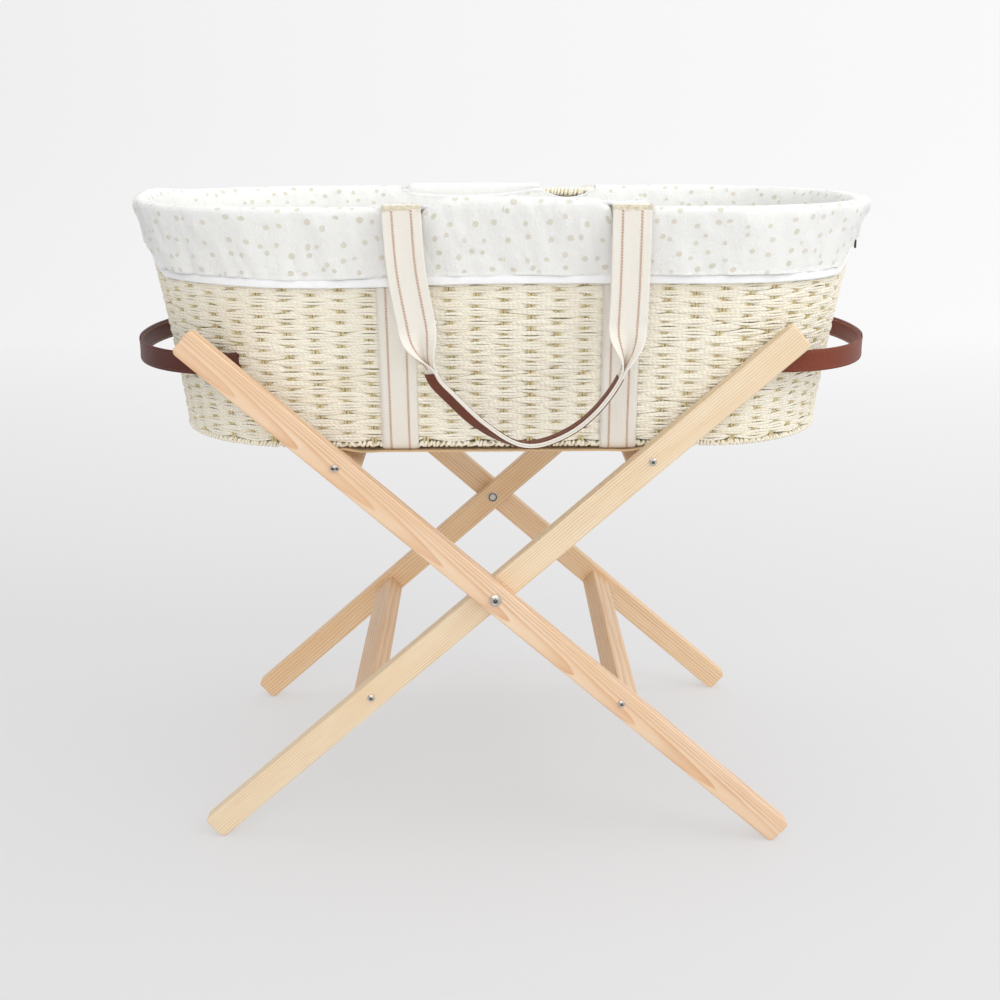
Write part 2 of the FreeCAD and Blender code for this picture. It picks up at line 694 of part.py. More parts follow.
def handle_tabs(label):
    """Short leather tabs on the wall, where an end handle's strap passes into the weave."""
    height = dim("end_handle_up")
    radius = dim("corner_ratio") * half_width(height)
    centre_x = half_length(height) - radius
    centre_y = half_width(height) - radius
    solids = []
    for end in (-1, 1):
        for side in (-1, 1):
            far = dim("end_handle_root") - 13
            lean = math.asin((far - centre_x) / radius)
            tab = Part.makeBox(14, 3, dim("end_handle_width") - 2,
                               Vector(-7, 2.0, -dim("end_handle_width") / 2 + 1))
            tab.rotate(Vector(), Vector(0, 0, 1), -math.degrees(lean))
            tab.translate(Vector(centre_x + radius * math.sin(lean),
                                 centre_y + radius * math.cos(lean), height))
            if side < 0:
                tab = tab.mirror(Vector(), Vector(0, 1, 0))
            if end < 0:
                tab = tab.mirror(Vector(), Vector(1, 0, 0))
            solids.append(tab)
    return compound(label, solids)


end_handle("end_handle_left", -1)
end_handle("end_handle_right", 1)
handle_tabs("end_handle_tabs")


# ---------------------------------------------------------------- checks and export

doc.recompute()
for item in doc.Objects:
    if "Invalid" in item.State or "Error" in item.State:
        raise RuntimeError(f"{item.Label}: {item.State}")

nodes = [item for item in doc.Objects
         if item.TypeId == "PartDesign::Body" or item.TypeId == "Part::Feature"]
for node in nodes:
    if node.Shape.isNull() or not node.Shape.isValid():
        raise RuntimeError(f"{node.Label}: the shape is not valid")
    node.Shape.exportStep(f"parts/{node.Label}.step")
    box = node.Shape.BoundBox
    print(f"{node.Label}: {len(node.Shape.Solids)} solids, {node.Shape.Volume / 1000:.1f} cm3, "
          f"X {box.XMin:.1f}..{box.XMax:.1f} Y {box.YMin:.1f}..{box.YMax:.1f} "
          f"Z {box.ZMin:.1f}..{box.ZMax:.1f}")
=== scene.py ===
import json
import math

import bpy
import numpy as np
from mathutils import Matrix, Vector


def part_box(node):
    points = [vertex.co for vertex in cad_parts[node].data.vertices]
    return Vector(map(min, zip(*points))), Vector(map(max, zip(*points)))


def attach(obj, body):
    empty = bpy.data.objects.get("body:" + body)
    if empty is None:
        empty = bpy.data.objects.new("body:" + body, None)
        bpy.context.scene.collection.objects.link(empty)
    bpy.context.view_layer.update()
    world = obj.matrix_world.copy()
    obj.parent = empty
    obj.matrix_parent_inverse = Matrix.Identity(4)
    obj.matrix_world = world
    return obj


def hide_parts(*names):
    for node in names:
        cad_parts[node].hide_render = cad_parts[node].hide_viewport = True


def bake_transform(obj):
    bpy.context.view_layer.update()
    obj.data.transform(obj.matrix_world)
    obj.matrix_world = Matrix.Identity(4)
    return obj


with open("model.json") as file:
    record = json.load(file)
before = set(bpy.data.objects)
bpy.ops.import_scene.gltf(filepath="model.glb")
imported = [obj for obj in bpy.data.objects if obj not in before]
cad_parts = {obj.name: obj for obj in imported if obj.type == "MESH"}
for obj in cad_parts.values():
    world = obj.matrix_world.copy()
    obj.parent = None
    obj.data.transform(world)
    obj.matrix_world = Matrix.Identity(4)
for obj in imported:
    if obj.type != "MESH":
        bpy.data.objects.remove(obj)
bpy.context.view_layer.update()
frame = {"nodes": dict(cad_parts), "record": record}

MM = 0.001


def joint_place(name):
    """Where the joint of that name turns, in metres."""
    joints = frame["record"]["behaviour"]["joints"]
    return next(joint for joint in joints if joint["name"] == name)["pos_m"]


# ------------------------------------------------------------------ the basket's plan

RIM_LOW, RIM_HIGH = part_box("basket_rim_border")
FOOT_LOW, FOOT_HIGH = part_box("basket_foot_border")
WALL_LOW, WALL_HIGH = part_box("basket_wall")
FLOOR_Z, RIM_Z = FOOT_LOW.z, RIM_HIGH.z
CORNER = 0.9                    # plan corner radius as a share of the half width


def flare(z):
    """How far the wall has opened at a height: 0 at the foot and 1 at the rim."""
    return np.clip((z - FLOOR_Z) / (RIM_Z - FLOOR_Z), 0, 1.1) ** 1.25


TOP_A, TOP_B = RIM_HIGH.x - 2 * MM, RIM_HIGH.y - 2 * MM
SHARE = flare(FOOT_HIGH.z)
BASE_A = (FOOT_HIGH.x - 1 * MM - TOP_A * SHARE) / (1 - SHARE)
BASE_B = (FOOT_HIGH.y - 1 * MM - TOP_B * SHARE) / (1 - SHARE)


def half_length(z):
    return BASE_A + (TOP_A - BASE_A) * flare(z)


def half_width(z):
    return BASE_B + (TOP_B - BASE_B) * flare(z)


MID_Z = (FLOOR_Z + RIM_Z) / 2
MID_R = CORNER * half_width(MID_Z)
SIDE = half_length(MID_Z) - MID_R
ENDS = 2 * (half_width(MID_Z) - MID_R)
RUNS = np.array([SIDE, MID_R * math.pi / 2, ENDS, MID_R * math.pi / 2, 2 * SIDE,
                 MID_R * math.pi / 2, ENDS, MID_R * math.pi / 2, SIDE])
MARKS = np.concatenate([[0], np.cumsum(RUNS)])
AROUND = MARKS[-1]              # length of the plan outline at mid height
ALONG_X = np.array([0, 1, 1, 1, 1, -1, -1, -1, -1, 0])
ALONG_Y = np.array([-1, -1, -1, 1, 1, 1, 1, -1, -1, -1])
TURN = np.radians([-90, -90, 0, 0, 90, 90, 180, 180, 270, 270])


def outline(s, z, away=0.0):
    """Points and outward directions round the basket: s is 0 at the front's middle and 1 after a turn."""
    s, z, away = np.broadcast_arrays(np.asarray(s, float), np.asarray(z, float), np.asarray(away, float))
    length = (s % 1.0) * AROUND
    k = np.clip(np.searchsorted(MARKS, length, "right") - 1, 0, 8)
    t = (length - MARKS[k]) / RUNS[k]
    # ends of each run: arcs keep their centre and turn, straight runs keep their direction
    arc = k % 2 == 1
    x0, x1 = ALONG_X[k], np.where(k == 8, 0, np.where(arc, ALONG_X[k], ALONG_X[k + 1]))
    y0, y1 = ALONG_Y[k], np.where(arc, ALONG_Y[k], ALONG_Y[k + 1])
    turn = TURN[k] + np.where(arc, t * math.pi / 2, 0)
    a, b = half_length(z), half_width(z)
    r = CORNER * b
    nx, ny = np.cos(turn), np.sin(turn)
    x = (x0 + (x1 - x0) * t) * (a - r) + (r + away) * nx
    y = (y0 + (y1 - y0) * t) * (b - r) + (r + away) * ny
    return np.stack([x, y, z], -1), np.stack([nx, ny, np.zeros_like(nx)], -1)


# ------------------------------------------------------------------ mesh code

def smooth(t):
    t = np.clip(t, 0, 1)
    return t * t * (3 - 2 * t)


def hump(value, middle, width):
    """A smooth hump of height 1 round the middle."""
    return np.exp(-((value - middle) / width) ** 2)


def unit(v):
    return v / np.maximum(np.linalg.norm(v, axis=-1, keepdims=True), 1e-12)


def noise(u, v, cells_u, cells_v, seed):
    """Smooth noise from -1 to 1 over u, which wraps at 1, and v."""
    table = np.random.default_rng(seed).uniform(-1, 1, (cells_u, cells_v + 4))
    x, y = (np.asarray(u) % 1.0) * cells_u, np.clip(np.asarray(v), 0, 1) * cells_v + 1
    x, y = np.broadcast_arrays(x, y)
    i, j = np.floor(x).astype(int), np.floor(y).astype(int)
    fx, fy = smooth(x - i), smooth(y - j)
    i0, i1, j1 = i % cells_u, (i + 1) % cells_u, j + 1
    low = table[i0, j] * (1 - fx) + table[i1, j] * fx
    high = table[i0, j1] * (1 - fx) + table[i1, j1] * fx
    return low * (1 - fy) + high * fy


def spline(points, count):
    """A smooth curve through the points, (n, d), by chord length."""
    points = np.asarray(points, float)
    run = np.concatenate([[0], np.cumsum(np.linalg.norm(np.diff(points, axis=0), axis=1))])
    slope = np.gradient(points, run, axis=0)
    where = np.linspace(0, run[-1], count)
    at = np.clip(np.searchsorted(run, where, "right") - 1, 0, len(run) - 2)
    h = (run[at + 1] - run[at])[:, None]
    t = ((where - run[at])[:, None]) / h
    return (points[at] * (1 + 2 * t) * (1 - t) ** 2 + slope[at] * h * t * (1 - t) ** 2
            + points[at + 1] * t * t * (3 - 2 * t) + slope[at + 1] * h * t * t * (t - 1)), where


def flat_array(values, kind=np.float32):
    return np.ascontiguousarray(values, kind).ravel()


def points_of(mesh):
    points = np.zeros(len(mesh.vertices) * 3, np.float32)
    mesh.vertices.foreach_get("co", points)
    return points.reshape(-1, 3)


def mesh_object(name, points, quads, uv=None, tone=None):
    """A smooth mesh of quads, with the strand's UVs and the tone that its look reads."""
    mesh = bpy.data.meshes.new(name)
    mesh.vertices.add(len(points))
    mesh.vertices.foreach_set("co", flat_array(points))
    mesh.loops.add(quads.size)
    mesh.loops.foreach_set("vertex_index", flat_array(quads, np.int32))
    mesh.polygons.add(len(quads))
    mesh.polygons.foreach_set("loop_start", np.arange(0, quads.size, 4, dtype=np.int32))
    mesh.polygons.foreach_set("use_smooth", np.ones(len(quads), bool))
    mesh.update(calc_edges=True)
    if uv is not None:
        layer = mesh.uv_layers.new(name="strand")
        layer.data.foreach_set("uv", flat_array(uv))
    if tone is not None:
        values = mesh.attributes.new("tone", "FLOAT", "POINT")
        values.data.foreach_set("value", flat_array(tone))
    thing = bpy.data.objects.new(name, mesh)
    bpy.context.scene.collection.objects.link(thing)
    return thing


def skin(name, rings, closed=False, uv=None, tone=None):
    """A surface over rings of points, (tubes, rings, sides, 3), which turn clockwise seen along the path.
    uv is u, (tubes, rings and one more if closed), and v, (sides + 1)."""
    tubes, count, sides = rings.shape[:3]
    m = np.arange(tubes)[:, None, None] * count * sides
    k = np.arange(count if closed else count - 1)[None, :, None]
    s = np.arange(sides)[None, None, :]
    after, beside = (k + 1) % count, (s + 1) % sides
    corner = [m + k * sides + s, m + after * sides + s,
              m + after * sides + beside, m + k * sides + beside]
    quads = np.stack(np.broadcast_arrays(*corner), -1).reshape(-1, 4)
    where = None
    if uv is not None:
        u, v = uv
        u = np.broadcast_to(u, (tubes, count + int(closed)))
        if np.ndim(v) == 1:
            v = np.broadcast_to(v, (tubes, count + int(closed), sides + 1))
        parts = []
        for ring, side in ((k, s), (k + 1, s), (k + 1, s + 1), (k, s + 1)):
            a = u[:, ring[0, :, 0]][:, :, None] + 0 * side
            b = v[:, ring[0, :, 0]][:, :, side[0, 0, :]]
            parts.append(np.stack(np.broadcast_arrays(a, b), -1))
        where = np.stack(parts, -2).reshape(-1, 2)
    if not closed and sides % 2 == 0:
        extra = []
        for end, flip in ((0, False), (count - 1, True)):
            for i in range(sides // 2 - 1):
                face = [i, i + 1, sides - 2 - i, sides - 1 - i]
                face = face[::-1] if flip else face
                extra.append(m[:, 0, 0][:, None] + end * sides + np.array(face)[None, :])
        extra = np.concatenate(extra)
        quads = np.concatenate([quads, extra])
        if where is not None:
            where = np.concatenate([where, np.zeros((extra.size, 2))])
    if tone is not None:
        tone = np.broadcast_to(tone[..., None], (tubes, count, sides))
    return mesh_object(name, rings.reshape(-1, 3), quads, where, tone)


def tangents(path, closed):
    if closed:
        return unit(np.roll(path, -1, 1) - np.roll(path, 1, 1))
    return unit(np.gradient(path, axis=1))


def lengths(path, closed):
    ends = np.roll(path, -1, 1) if closed else path[:, 1:]
    steps = np.linalg.norm(ends - (path if closed else path[:, :-1]), axis=-1)
    return np.concatenate([np.zeros((len(path), 1)), np.cumsum(steps, 1)], 1)


def strands(name, paths, normals, radius, closed=False, sides=7, tall=1.0, tone=None):
    """Round strands along paths, (strands, points, 3). radius is one number or (strands, points), and
    tall stretches the section across the normals."""
    t = tangents(paths, closed)
    normals = np.broadcast_to(normals, paths.shape)
    n = unit(normals - (normals * t).sum(-1, keepdims=True) * t)
    up = np.cross(n, t)
    radius = np.broadcast_to(np.asarray(radius, float), paths.shape[:2])[..., None, None]
    angle = np.arange(sides) / sides * 2 * math.pi
    rings = (paths[:, :, None] + radius * (np.cos(angle)[:, None] * n[:, :, None]
                                           + tall * np.sin(angle)[:, None] * up[:, :, None]))
    return skin(name, rings, closed, (lengths(paths, closed), np.arange(sides + 1) / sides), tone)


def band(name, path, across, width, thick, count=10, closed=False, edge=0.35, cup=0.0):
    """Flat webbing or leather along one path, (points, 3). across is its width's direction, edge the share
    of the half width that rounds off, and cup how far its edges stand off its middle."""
    t = tangents(path[None], closed)[0]
    across = np.broadcast_to(across, path.shape)
    w = unit(across - (across * t).sum(-1, keepdims=True) * t)
    face = np.cross(w, t)
    width = np.broadcast_to(np.asarray(width, float), len(path))[:, None]
    q = np.linspace(-1, 1, count)
    full = np.minimum(1, (1 - np.abs(q)) / edge + 0.55) ** 0.6
    full[[0, -1]] = 0.45
    lift = cup * q ** 2
    x = np.concatenate([q, q[::-1]])
    y = np.concatenate([full, -full[::-1]]) / 2 * thick
    rise = np.concatenate([lift, lift[::-1]])
    rings = (path[:, None] + (x[None, :] * width / 2)[..., None] * w[:, None]
             + (y + rise)[None, :, None] * face[:, None])
    v = np.concatenate([x, x[:1]])[None, None, :] * width[None] / 2
    return skin(name, rings[None], closed, (lengths(path[None], closed), v))


def stitches(name, line, normals, length, gap, thick, proud=0.0, slant=0.0, closed=False):
    """Separate sewn stitches along a line of points, standing a little proud of the cloth."""
    run = lengths(line[None], closed)[0]
    if closed:
        line, normals = np.concatenate([line, line[:1]]), np.concatenate([normals, normals[:1]])
    total = run[-1]
    count = max(1, int(total / (length + gap)))
    starts = (np.arange(count) + 0.5) * total / count
    part = np.array([-0.5, -0.36, 0.0, 0.36, 0.5])
    where = starts[:, None] + part[None, :] * length

    def at(values, spots):
        return np.stack([np.interp(spots, run, values[:, i]) for i in range(3)], -1)

    points, n = at(line, where), unit(at(normals, where))
    t = unit(at(line, where + length * 0.1) - at(line, where - length * 0.1))
    points = points + n * (proud - np.array([1.0, 0.2, 0, 0.2, 1.0])[None, :, None] * thick * 0.9)
    points = points + np.cross(n, t) * (part * slant)[None, :, None]
    radius = thick / 2 * np.array([0.55, 0.95, 1.0, 0.95, 0.55])
    return strands(name, points, n, np.broadcast_to(radius, where.shape), sides=6)


def cloth_sheet(name, grid, thick, uv, keep=None, tone=None):
    """A closed sheet of cloth with a real thickness over a grid of points, (around, across, 3), that wraps
    round. keep is False for the grid's cells that are cut out, (around, across - 1)."""
    n = unit(np.cross(np.roll(grid, -1, 0) - np.roll(grid, 1, 0), np.gradient(grid, axis=1)))
    count, across = grid.shape[:2]
    keep = np.ones((count, across - 1), bool) if keep is None else keep
    points = np.concatenate([(grid + n * thick / 2).reshape(-1, 3), (grid - n * thick / 2).reshape(-1, 3)])
    u, v = uv
    i, j = np.nonzero(keep)
    below = count * across

    def index(i, j, back):
        return (i % count) * across + j + below * back

    def corner(i, j):
        return np.stack([u[i], v[j]], -1)

    def quad(cells, back):
        return (np.stack([index(a, b, k) for (a, b), k in zip(cells, back)], -1),
                np.stack([corner(a, b) for a, b in cells], -2))

    parts = [quad([(i, j), (i, j + 1), (i + 1, j + 1), (i + 1, j)], [1, 1, 1, 1]),
             quad([(i, j), (i + 1, j), (i + 1, j + 1), (i, j + 1)], [0, 0, 0, 0])]
    padded = np.zeros((count, across + 1), bool)
    padded[:, 1:-1] = keep
    for open_side, first, last in (
            (keep & ~np.roll(keep, 1, 0), (0, 1), (0, 0)), (keep & ~np.roll(keep, -1, 0), (1, 0), (1, 1)),
            (keep & ~padded[:, :-2], (0, 0), (1, 0)), (keep & ~padded[:, 2:], (1, 1), (0, 1))):
        a, b = np.nonzero(open_side)
        if len(a):
            start, end = (a + first[0], b + first[1]), (a + last[0], b + last[1])
            parts.append(quad([start, end, end, start], [0, 0, 1, 1]))
    quads = np.concatenate([part[0] for part in parts])[:, ::-1]
    where = np.concatenate([part[1] for part in parts])[:, ::-1].reshape(-1, 2)
    used = np.zeros(len(points), bool)
    used[quads.ravel()] = True
    new = np.cumsum(used) - 1
    if tone is not None:
        tone = np.concatenate([tone.ravel(), tone.ravel()])[used]
    return mesh_object(name, points[used], new[quads], where, tone)


# ------------------------------------------------------------------ materials

class Look:
    """One procedural material: its nodes are added by name and joined as they are made."""

    def __init__(self, name, rough=0.6, **shader):
        self.material = bpy.data.materials.new(name)
        self.material.use_nodes = True
        self.tree = self.material.node_tree
        self.shader = self.tree.nodes["Principled BSDF"]
        self.shader.inputs["Roughness"].default_value = rough
        for key, value in shader.items():
            self.shader.inputs[key.replace("_", " ")].default_value = value

    def node(self, kind, settings=(), **values):
        made = self.tree.nodes.new("ShaderNode" + kind)
        for key, value in dict(settings).items():
            setattr(made, key, value)
        for key, value in values.items():
            by_number = key[0] == "i" and key[1:].isdigit()
            where = made.inputs[int(key[1:]) if by_number else key.replace("_", " ")]
            if isinstance(value, bpy.types.NodeSocket):
                self.tree.links.new(value, where)
            else:
                where.default_value = value
        return made

    def math(self, way, a, b=0.0, c=0.0):
        return self.node("Math", {"operation": way}, i0=a, i1=b, i2=c).outputs[0]

    def scaled(self, a, b, plus=None):
        """a times b, plus a third value if there is one."""
        return self.math("MULTIPLY", a, b) if plus is None else self.math("MULTIPLY_ADD", a, b, plus)

    def wave(self, value, length):
        """A sine of the value that repeats after the length, in metres."""
        return self.math("SINE", self.scaled(value, 2 * math.pi / length))

    def ramp(self, factor, *stops):
        made = self.node("ValToRGB", Fac=factor)
        ramp = made.color_ramp
        while len(ramp.elements) < len(stops):
            ramp.elements.new(0.5)
        for element, (where, colour) in zip(ramp.elements, stops):
            element.position = where
            element.color = (*colour, 1) if len(colour) == 3 else colour
        return made.outputs["Color"]

    def mix(self, factor, a, b):
        made = self.tree.nodes.new("ShaderNodeMix")
        made.data_type = "RGBA"
        for index, value in ((0, factor), (6, a), (7, b)):
            if isinstance(value, bpy.types.NodeSocket):
                self.tree.links.new(value, made.inputs[index])
            else:
                made.inputs[index].default_value = (*value, 1) if np.size(value) == 3 else value
        return made.outputs[2]

    def spot(self, scale, vector=None, detail=2.0, rough=0.5, distortion=0.0, colour=False):
        made = self.node("TexNoise", Scale=scale, Detail=detail, Roughness=rough, Distortion=distortion)
        if vector is not None:
            self.tree.links.new(vector, made.inputs["Vector"])
        return made.outputs["Color" if colour else "Fac"]

    def here(self):
        return self.node("TexCoord").outputs["Object"]

    def strand(self):
        split = self.node("SeparateXYZ", Vector=self.node("TexCoord").outputs["UV"])
        return split.outputs[0], split.outputs[1]

    def mapped(self, vector, move=(0, 0, 0), turn=(0, 0, 0), scale=(1, 1, 1)):
        return self.node("Mapping", Vector=vector, Location=move, Rotation=turn, Scale=scale).outputs[0]

    def vector(self, x, y, z=0.0):
        return self.node("CombineXYZ", X=x, Y=y, Z=z).outputs[0]

    def colour(self, value):
        if isinstance(value, bpy.types.NodeSocket):
            self.tree.links.new(value, self.shader.inputs["Base Color"])
        else:
            self.shader.inputs["Base Color"].default_value = (*value, 1)

    def roughness(self, value):
        self.tree.links.new(value, self.shader.inputs["Roughness"])

    def bump(self, height, depth, strength=1.0):
        made = self.node("Bump", Height=height, Strength=strength, Distance=depth)
        if self.shader.inputs["Normal"].is_linked:
            self.tree.links.new(self.shader.inputs["Normal"].links[0].from_socket, made.inputs["Normal"])
        self.tree.links.new(made.outputs[0], self.shader.inputs["Normal"])


def rgb(r, g, b):
    """An sRGB colour, 0 to 255, as the linear one that a shader takes."""
    return tuple(((c / 255 + 0.055) / 1.055) ** 2.4 if c > 10 else c / 255 / 12.92 for c in (r, g, b))


def paper_rope(name, light, mid, dark, pitch=0.0052):
    """Twisted paper cord: two plies, fine creases with painted shade in the grooves of the twist, and a tone
    that each strand carries.
    """
    look = Look(name, 0.72)
    along, round_ = look.strand()
    tone = look.node("Attribute", {"attribute_name": "tone"}).outputs["Fac"]
    turn = look.scaled(along, 2 * math.pi / pitch, look.scaled(round_, 4 * math.pi))
    groove = look.math("SINE", turn)
    fine = look.math("SINE", look.scaled(turn, 4.0))
    fibre = look.spot(900, look.here(), 2)
    broad = look.spot(16, look.here(), 3, 0.6)
    height = look.math("ADD", look.scaled(groove, 0.5), look.scaled(fine, 0.16))
    height = look.scaled(fibre, 0.5, height)
    base = look.ramp(look.math("ADD", look.scaled(broad, 0.55), look.scaled(tone, 0.5)),
                     (0.12, dark), (0.45, mid), (0.8, light))
    # painted shade: the colour is pulled toward the dark stop in the grooves of the twist
    groove_shade = look.scaled(groove, -0.14, 0.14)
    shade = look.mix(groove_shade, base, dark)
    look.colour(look.mix(look.scaled(fibre, 0.12), shade, light))
    look.bump(height, 0.0006, 0.8)
    return look.material


def webbing(name, pale, warm):
    """Cotton webbing in a herringbone."""
    look = Look(name, 0.85, Sheen_Weight=0.15)
    along, across = look.strand()
    rows = look.wave(along, 0.0011)
    ribs = look.wave(across, 0.0014)
    chevron = look.math("ABSOLUTE", look.math("SINE", look.scaled(across, math.pi / 0.004)))
    twill = look.math("SINE", look.scaled(chevron, 5.0, look.scaled(along, 2 * math.pi / 0.0018)))
    weave = look.math("ADD", look.scaled(rows, 0.3),
                      look.math("ADD", look.scaled(ribs, 0.35), look.scaled(twill, 0.35)))
    fuzz = look.spot(700, look.here(), 3)
    slub = look.spot(60, look.mapped(look.here(), scale=(1, 1, 0.2)), 3)
    # the colour warms and darkens in the low parts of the weave: painted shade in its grooves; the slubs are
    # random tone
    look.colour(look.mix(look.scaled(weave, -0.1, look.scaled(slub, 0.35)), pale, warm))
    look.bump(look.scaled(fuzz, 0.6, weave), 0.00035, 0.7)
    return look.material


def muslin(name, ground):
    """Crinkled double muslin with printed dots; the tone attribute is 1 on its plain wrong side."""
    look = Look(name, 0.9, Sheen_Weight=0.1, Transmission_Weight=0.0)
    along, across = look.strand()
    where = look.vector(along, look.scaled(across, 1.18))
    drift = look.node("VectorMath", {"operation": "MULTIPLY_ADD"}, i0=look.spot(40, where, 1, colour=True),
                      i1=(0.006, 0.006, 0.0), i2=where).outputs[0]
    crinkle = look.spot(120, look.mapped(where, scale=(1.6, 0.8, 1)), 4, 0.65, 0.6)
    fine = look.spot(420, look.mapped(where, scale=(1.4, 1, 1)), 3, 0.6)
    weave = look.math("ADD", look.wave(along, 0.0009), look.wave(across, 0.0009))
    # darker following the crinkle noise that also bumps the cloth: painted shade of the crinkles
    colour = look.mix(look.scaled(crinkle, 0.14), ground, tuple(0.86 * c for c in ground))
    cells = look.node("TexVoronoi", {"voronoi_dimensions": "2D"}, Vector=drift, Scale=53.0, Randomness=0.75)
    chosen = look.node("SeparateColor", Color=cells.outputs["Color"]).outputs
    wobble = look.scaled(look.spot(260, where, 1), 0.05, -0.025)
    size = look.scaled(chosen[0], 0.05, 0.125)
    inside = look.math("SUBTRACT", size, look.math("ADD", cells.outputs["Distance"], wobble))
    mask = look.node("MapRange", Value=inside, i1=-0.008, i2=0.016).outputs[0]
    tint = look.ramp(chosen[1], (0.0, rgb(221, 220, 198)), (0.35, rgb(224, 217, 200)),
                     (0.6, rgb(228, 215, 200)), (0.85, rgb(213, 213, 190)))
    wrong_side = look.node("Attribute", {"attribute_name": "tone"}).outputs["Fac"]
    mask = look.scaled(mask, look.scaled(wrong_side, -0.74, 0.74))
    colour = look.mix(mask, colour, tint)
    look.colour(colour)
    look.bump(look.math("ADD", look.scaled(weave, 0.05),
                        look.scaled(fine, 0.5, crinkle)), 0.0024, 0.8)
    return look.material


def plain_cotton(name, ground, shade):
    """Plain cotton with a fine twill: thread, binding, cord and the mattress cover."""
    look = Look(name, 0.85, Sheen_Weight=0.1)
    along, across = look.strand()
    twill = look.wave(look.math("ADD", along, across), 0.0012)
    ripple = look.spot(180, look.mapped(look.here(), scale=(1, 1, 0.6)), 3)
    # toward the shade colour where the ripple noise, which also bumps the cloth, is high: painted shade of
    # the ripples
    look.colour(look.mix(look.scaled(ripple, 0.5), ground, shade))
    look.bump(look.scaled(twill, 0.12, ripple), 0.0008, 0.6)
    return look.material


def leather(name, face, deep, worn):
    """Smooth leather with pores, creases and paler wear."""
    look = Look(name, 0.55, Specular_IOR_Level=0.3, Coat_Weight=0.03, Coat_Roughness=0.4)
    where = look.here()
    pores = look.node("TexVoronoi", {"feature": "F1"}, Vector=where, Scale=900.0)
    folds = look.spot(240, where, 5, 0.6, 0.8)
    broad = look.spot(26, where, 3)
    colour = look.mix(look.scaled(broad, 0.9), face, deep)
    colour = look.mix(look.scaled(look.math("POWER", folds, 3.0), 0.7), colour, worn)
    look.colour(colour)
    look.roughness(look.scaled(folds, 0.25, 0.36))
    look.bump(look.scaled(pores.outputs["Distance"], 0.6, folds), 0.0003, 0.7)
    return look.material


def pine(name, early, late, turn, cathedral=0.0, seed=0.0, pitch=0.0042, figure=1.0, crosswise=False):
    """Pine along X once turned about Y, or along Y: growth rings as curved sheets, fibres and resin streaks.
    cathedral is how strongly the rings arch across the face, and figure how much they wander."""
    look = Look(name, 0.48, Coat_Weight=0.05, Coat_Roughness=0.35)
    where = look.mapped(look.here(), turn=(0, 0, math.pi / 2)) if crosswise else look.here()
    centre = PIVOT[2] * math.cos(turn) - PIVOT[0] * math.sin(turn)
    where = look.mapped(where, move=(seed, 0, -centre), turn=(0, turn, 0))
    along, depth, across = look.node("SeparateXYZ", Vector=where).outputs
    slow = look.spot(1.0, look.mapped(where, move=(seed, seed, 0), scale=(3.0, 14, 14)), 2, 0.5)
    wander = look.spot(1.0, look.mapped(where, move=(0, seed, seed), scale=(9.0, 40, 40)), 2, 0.5)
    ring = look.scaled(slow, 5.5 * figure, look.scaled(across, 1 / pitch))
    ring = look.scaled(depth, 0.45 / pitch, ring)
    ring = look.scaled(wander, 0.9 * figure, ring)
    if cathedral:
        bow = look.math("POWER", look.scaled(look.math("ABSOLUTE", across), 1 / 0.0155), 2.0)
        arch = look.scaled(along, cathedral * 17, look.scaled(bow, 3.4 * cathedral))
        ring = look.math("ADD", arch, look.scaled(ring, 0.55))
    wave = look.math("FRACT", ring)
    line = look.ramp(wave, (0.0, (0, 0, 0)), (0.38, (0.16, 0.16, 0.16)), (0.76, (0.75, 0.75, 0.75)),
                     (0.95, (1, 1, 1)), (1.0, (0, 0, 0)))
    fibre = look.spot(1.0, look.mapped(where, scale=(28, 1500, 1500)), 3, 0.6)
    streak = look.spot(1.0, look.mapped(where, move=(seed, 0, 0), scale=(7, 260, 260)), 3, 0.6)
    broad = look.spot(1.0, look.mapped(where, move=(seed, seed, seed), scale=(6, 40, 40)), 3, 0.6, 0.5)
    broad = look.ramp(broad, (0.36, (0, 0, 0)), (0.68, (1, 1, 1)))
    amount = look.scaled(line, look.scaled(streak, 1.0, 0.3))
    colour = look.mix(amount, early, late)
    patch = look.spot(1.0, look.mapped(where, move=(0, seed, 0), scale=(11, 60, 60)), 3, 0.6, 0.6)
    patch = look.ramp(patch, (0.38, (0, 0, 0)), (0.62, (1, 1, 1)))
    paler = tuple(min(1, c * k) for c, k in zip(early, (1.04, 1.08, 1.14)))
    warmer = tuple(c * k for c, k in zip(early, (0.93, 0.80, 0.68)))
    colour = look.mix(look.scaled(patch, 0.30), colour, paler)
    colour = look.mix(look.scaled(broad, 0.6), colour, warmer)
    colour = look.mix(look.scaled(look.math("POWER", fibre, 2.0), 0.4), colour, late)
    look.colour(colour)
    look.roughness(look.scaled(streak, 0.2, 0.4))
    look.bump(look.scaled(wave, 0.25, fibre), 0.00022, 0.6)
    return look.material


def metal(name, colour, rough=0.28):
    """Plated metal with faint scratches and smears."""
    look = Look(name, rough, Metallic=1.0)
    scratch = look.spot(1400, look.mapped(look.here(), scale=(1, 1, 0.1)), 3)
    smear = look.spot(160, look.here(), 3)
    look.colour(look.mix(look.scaled(smear, 0.5), colour, tuple(c * 0.7 for c in colour)))
    look.roughness(look.scaled(smear, 0.2, rough - 0.08))
    look.bump(scratch, 0.00004, 0.5)
    return look.material


LEG = math.radians(41.5)        # slope of the legs
PIVOT = joint_place("stand_fold")
ROPE = paper_rope("paper_rope_look", rgb(252, 248, 236), rgb(249, 242, 224), rgb(226, 214, 180))
# the stake rope is a darker copy of the paper rope: painted shade for the cords that sit back in the weave,
# show through its windows and fill the gaps between border wraps
SHADED_STAKE_ROPE = paper_rope("stake_rope_painted_shade_look", rgb(238, 226, 186), rgb(226, 211, 162), rgb(194, 173, 118))
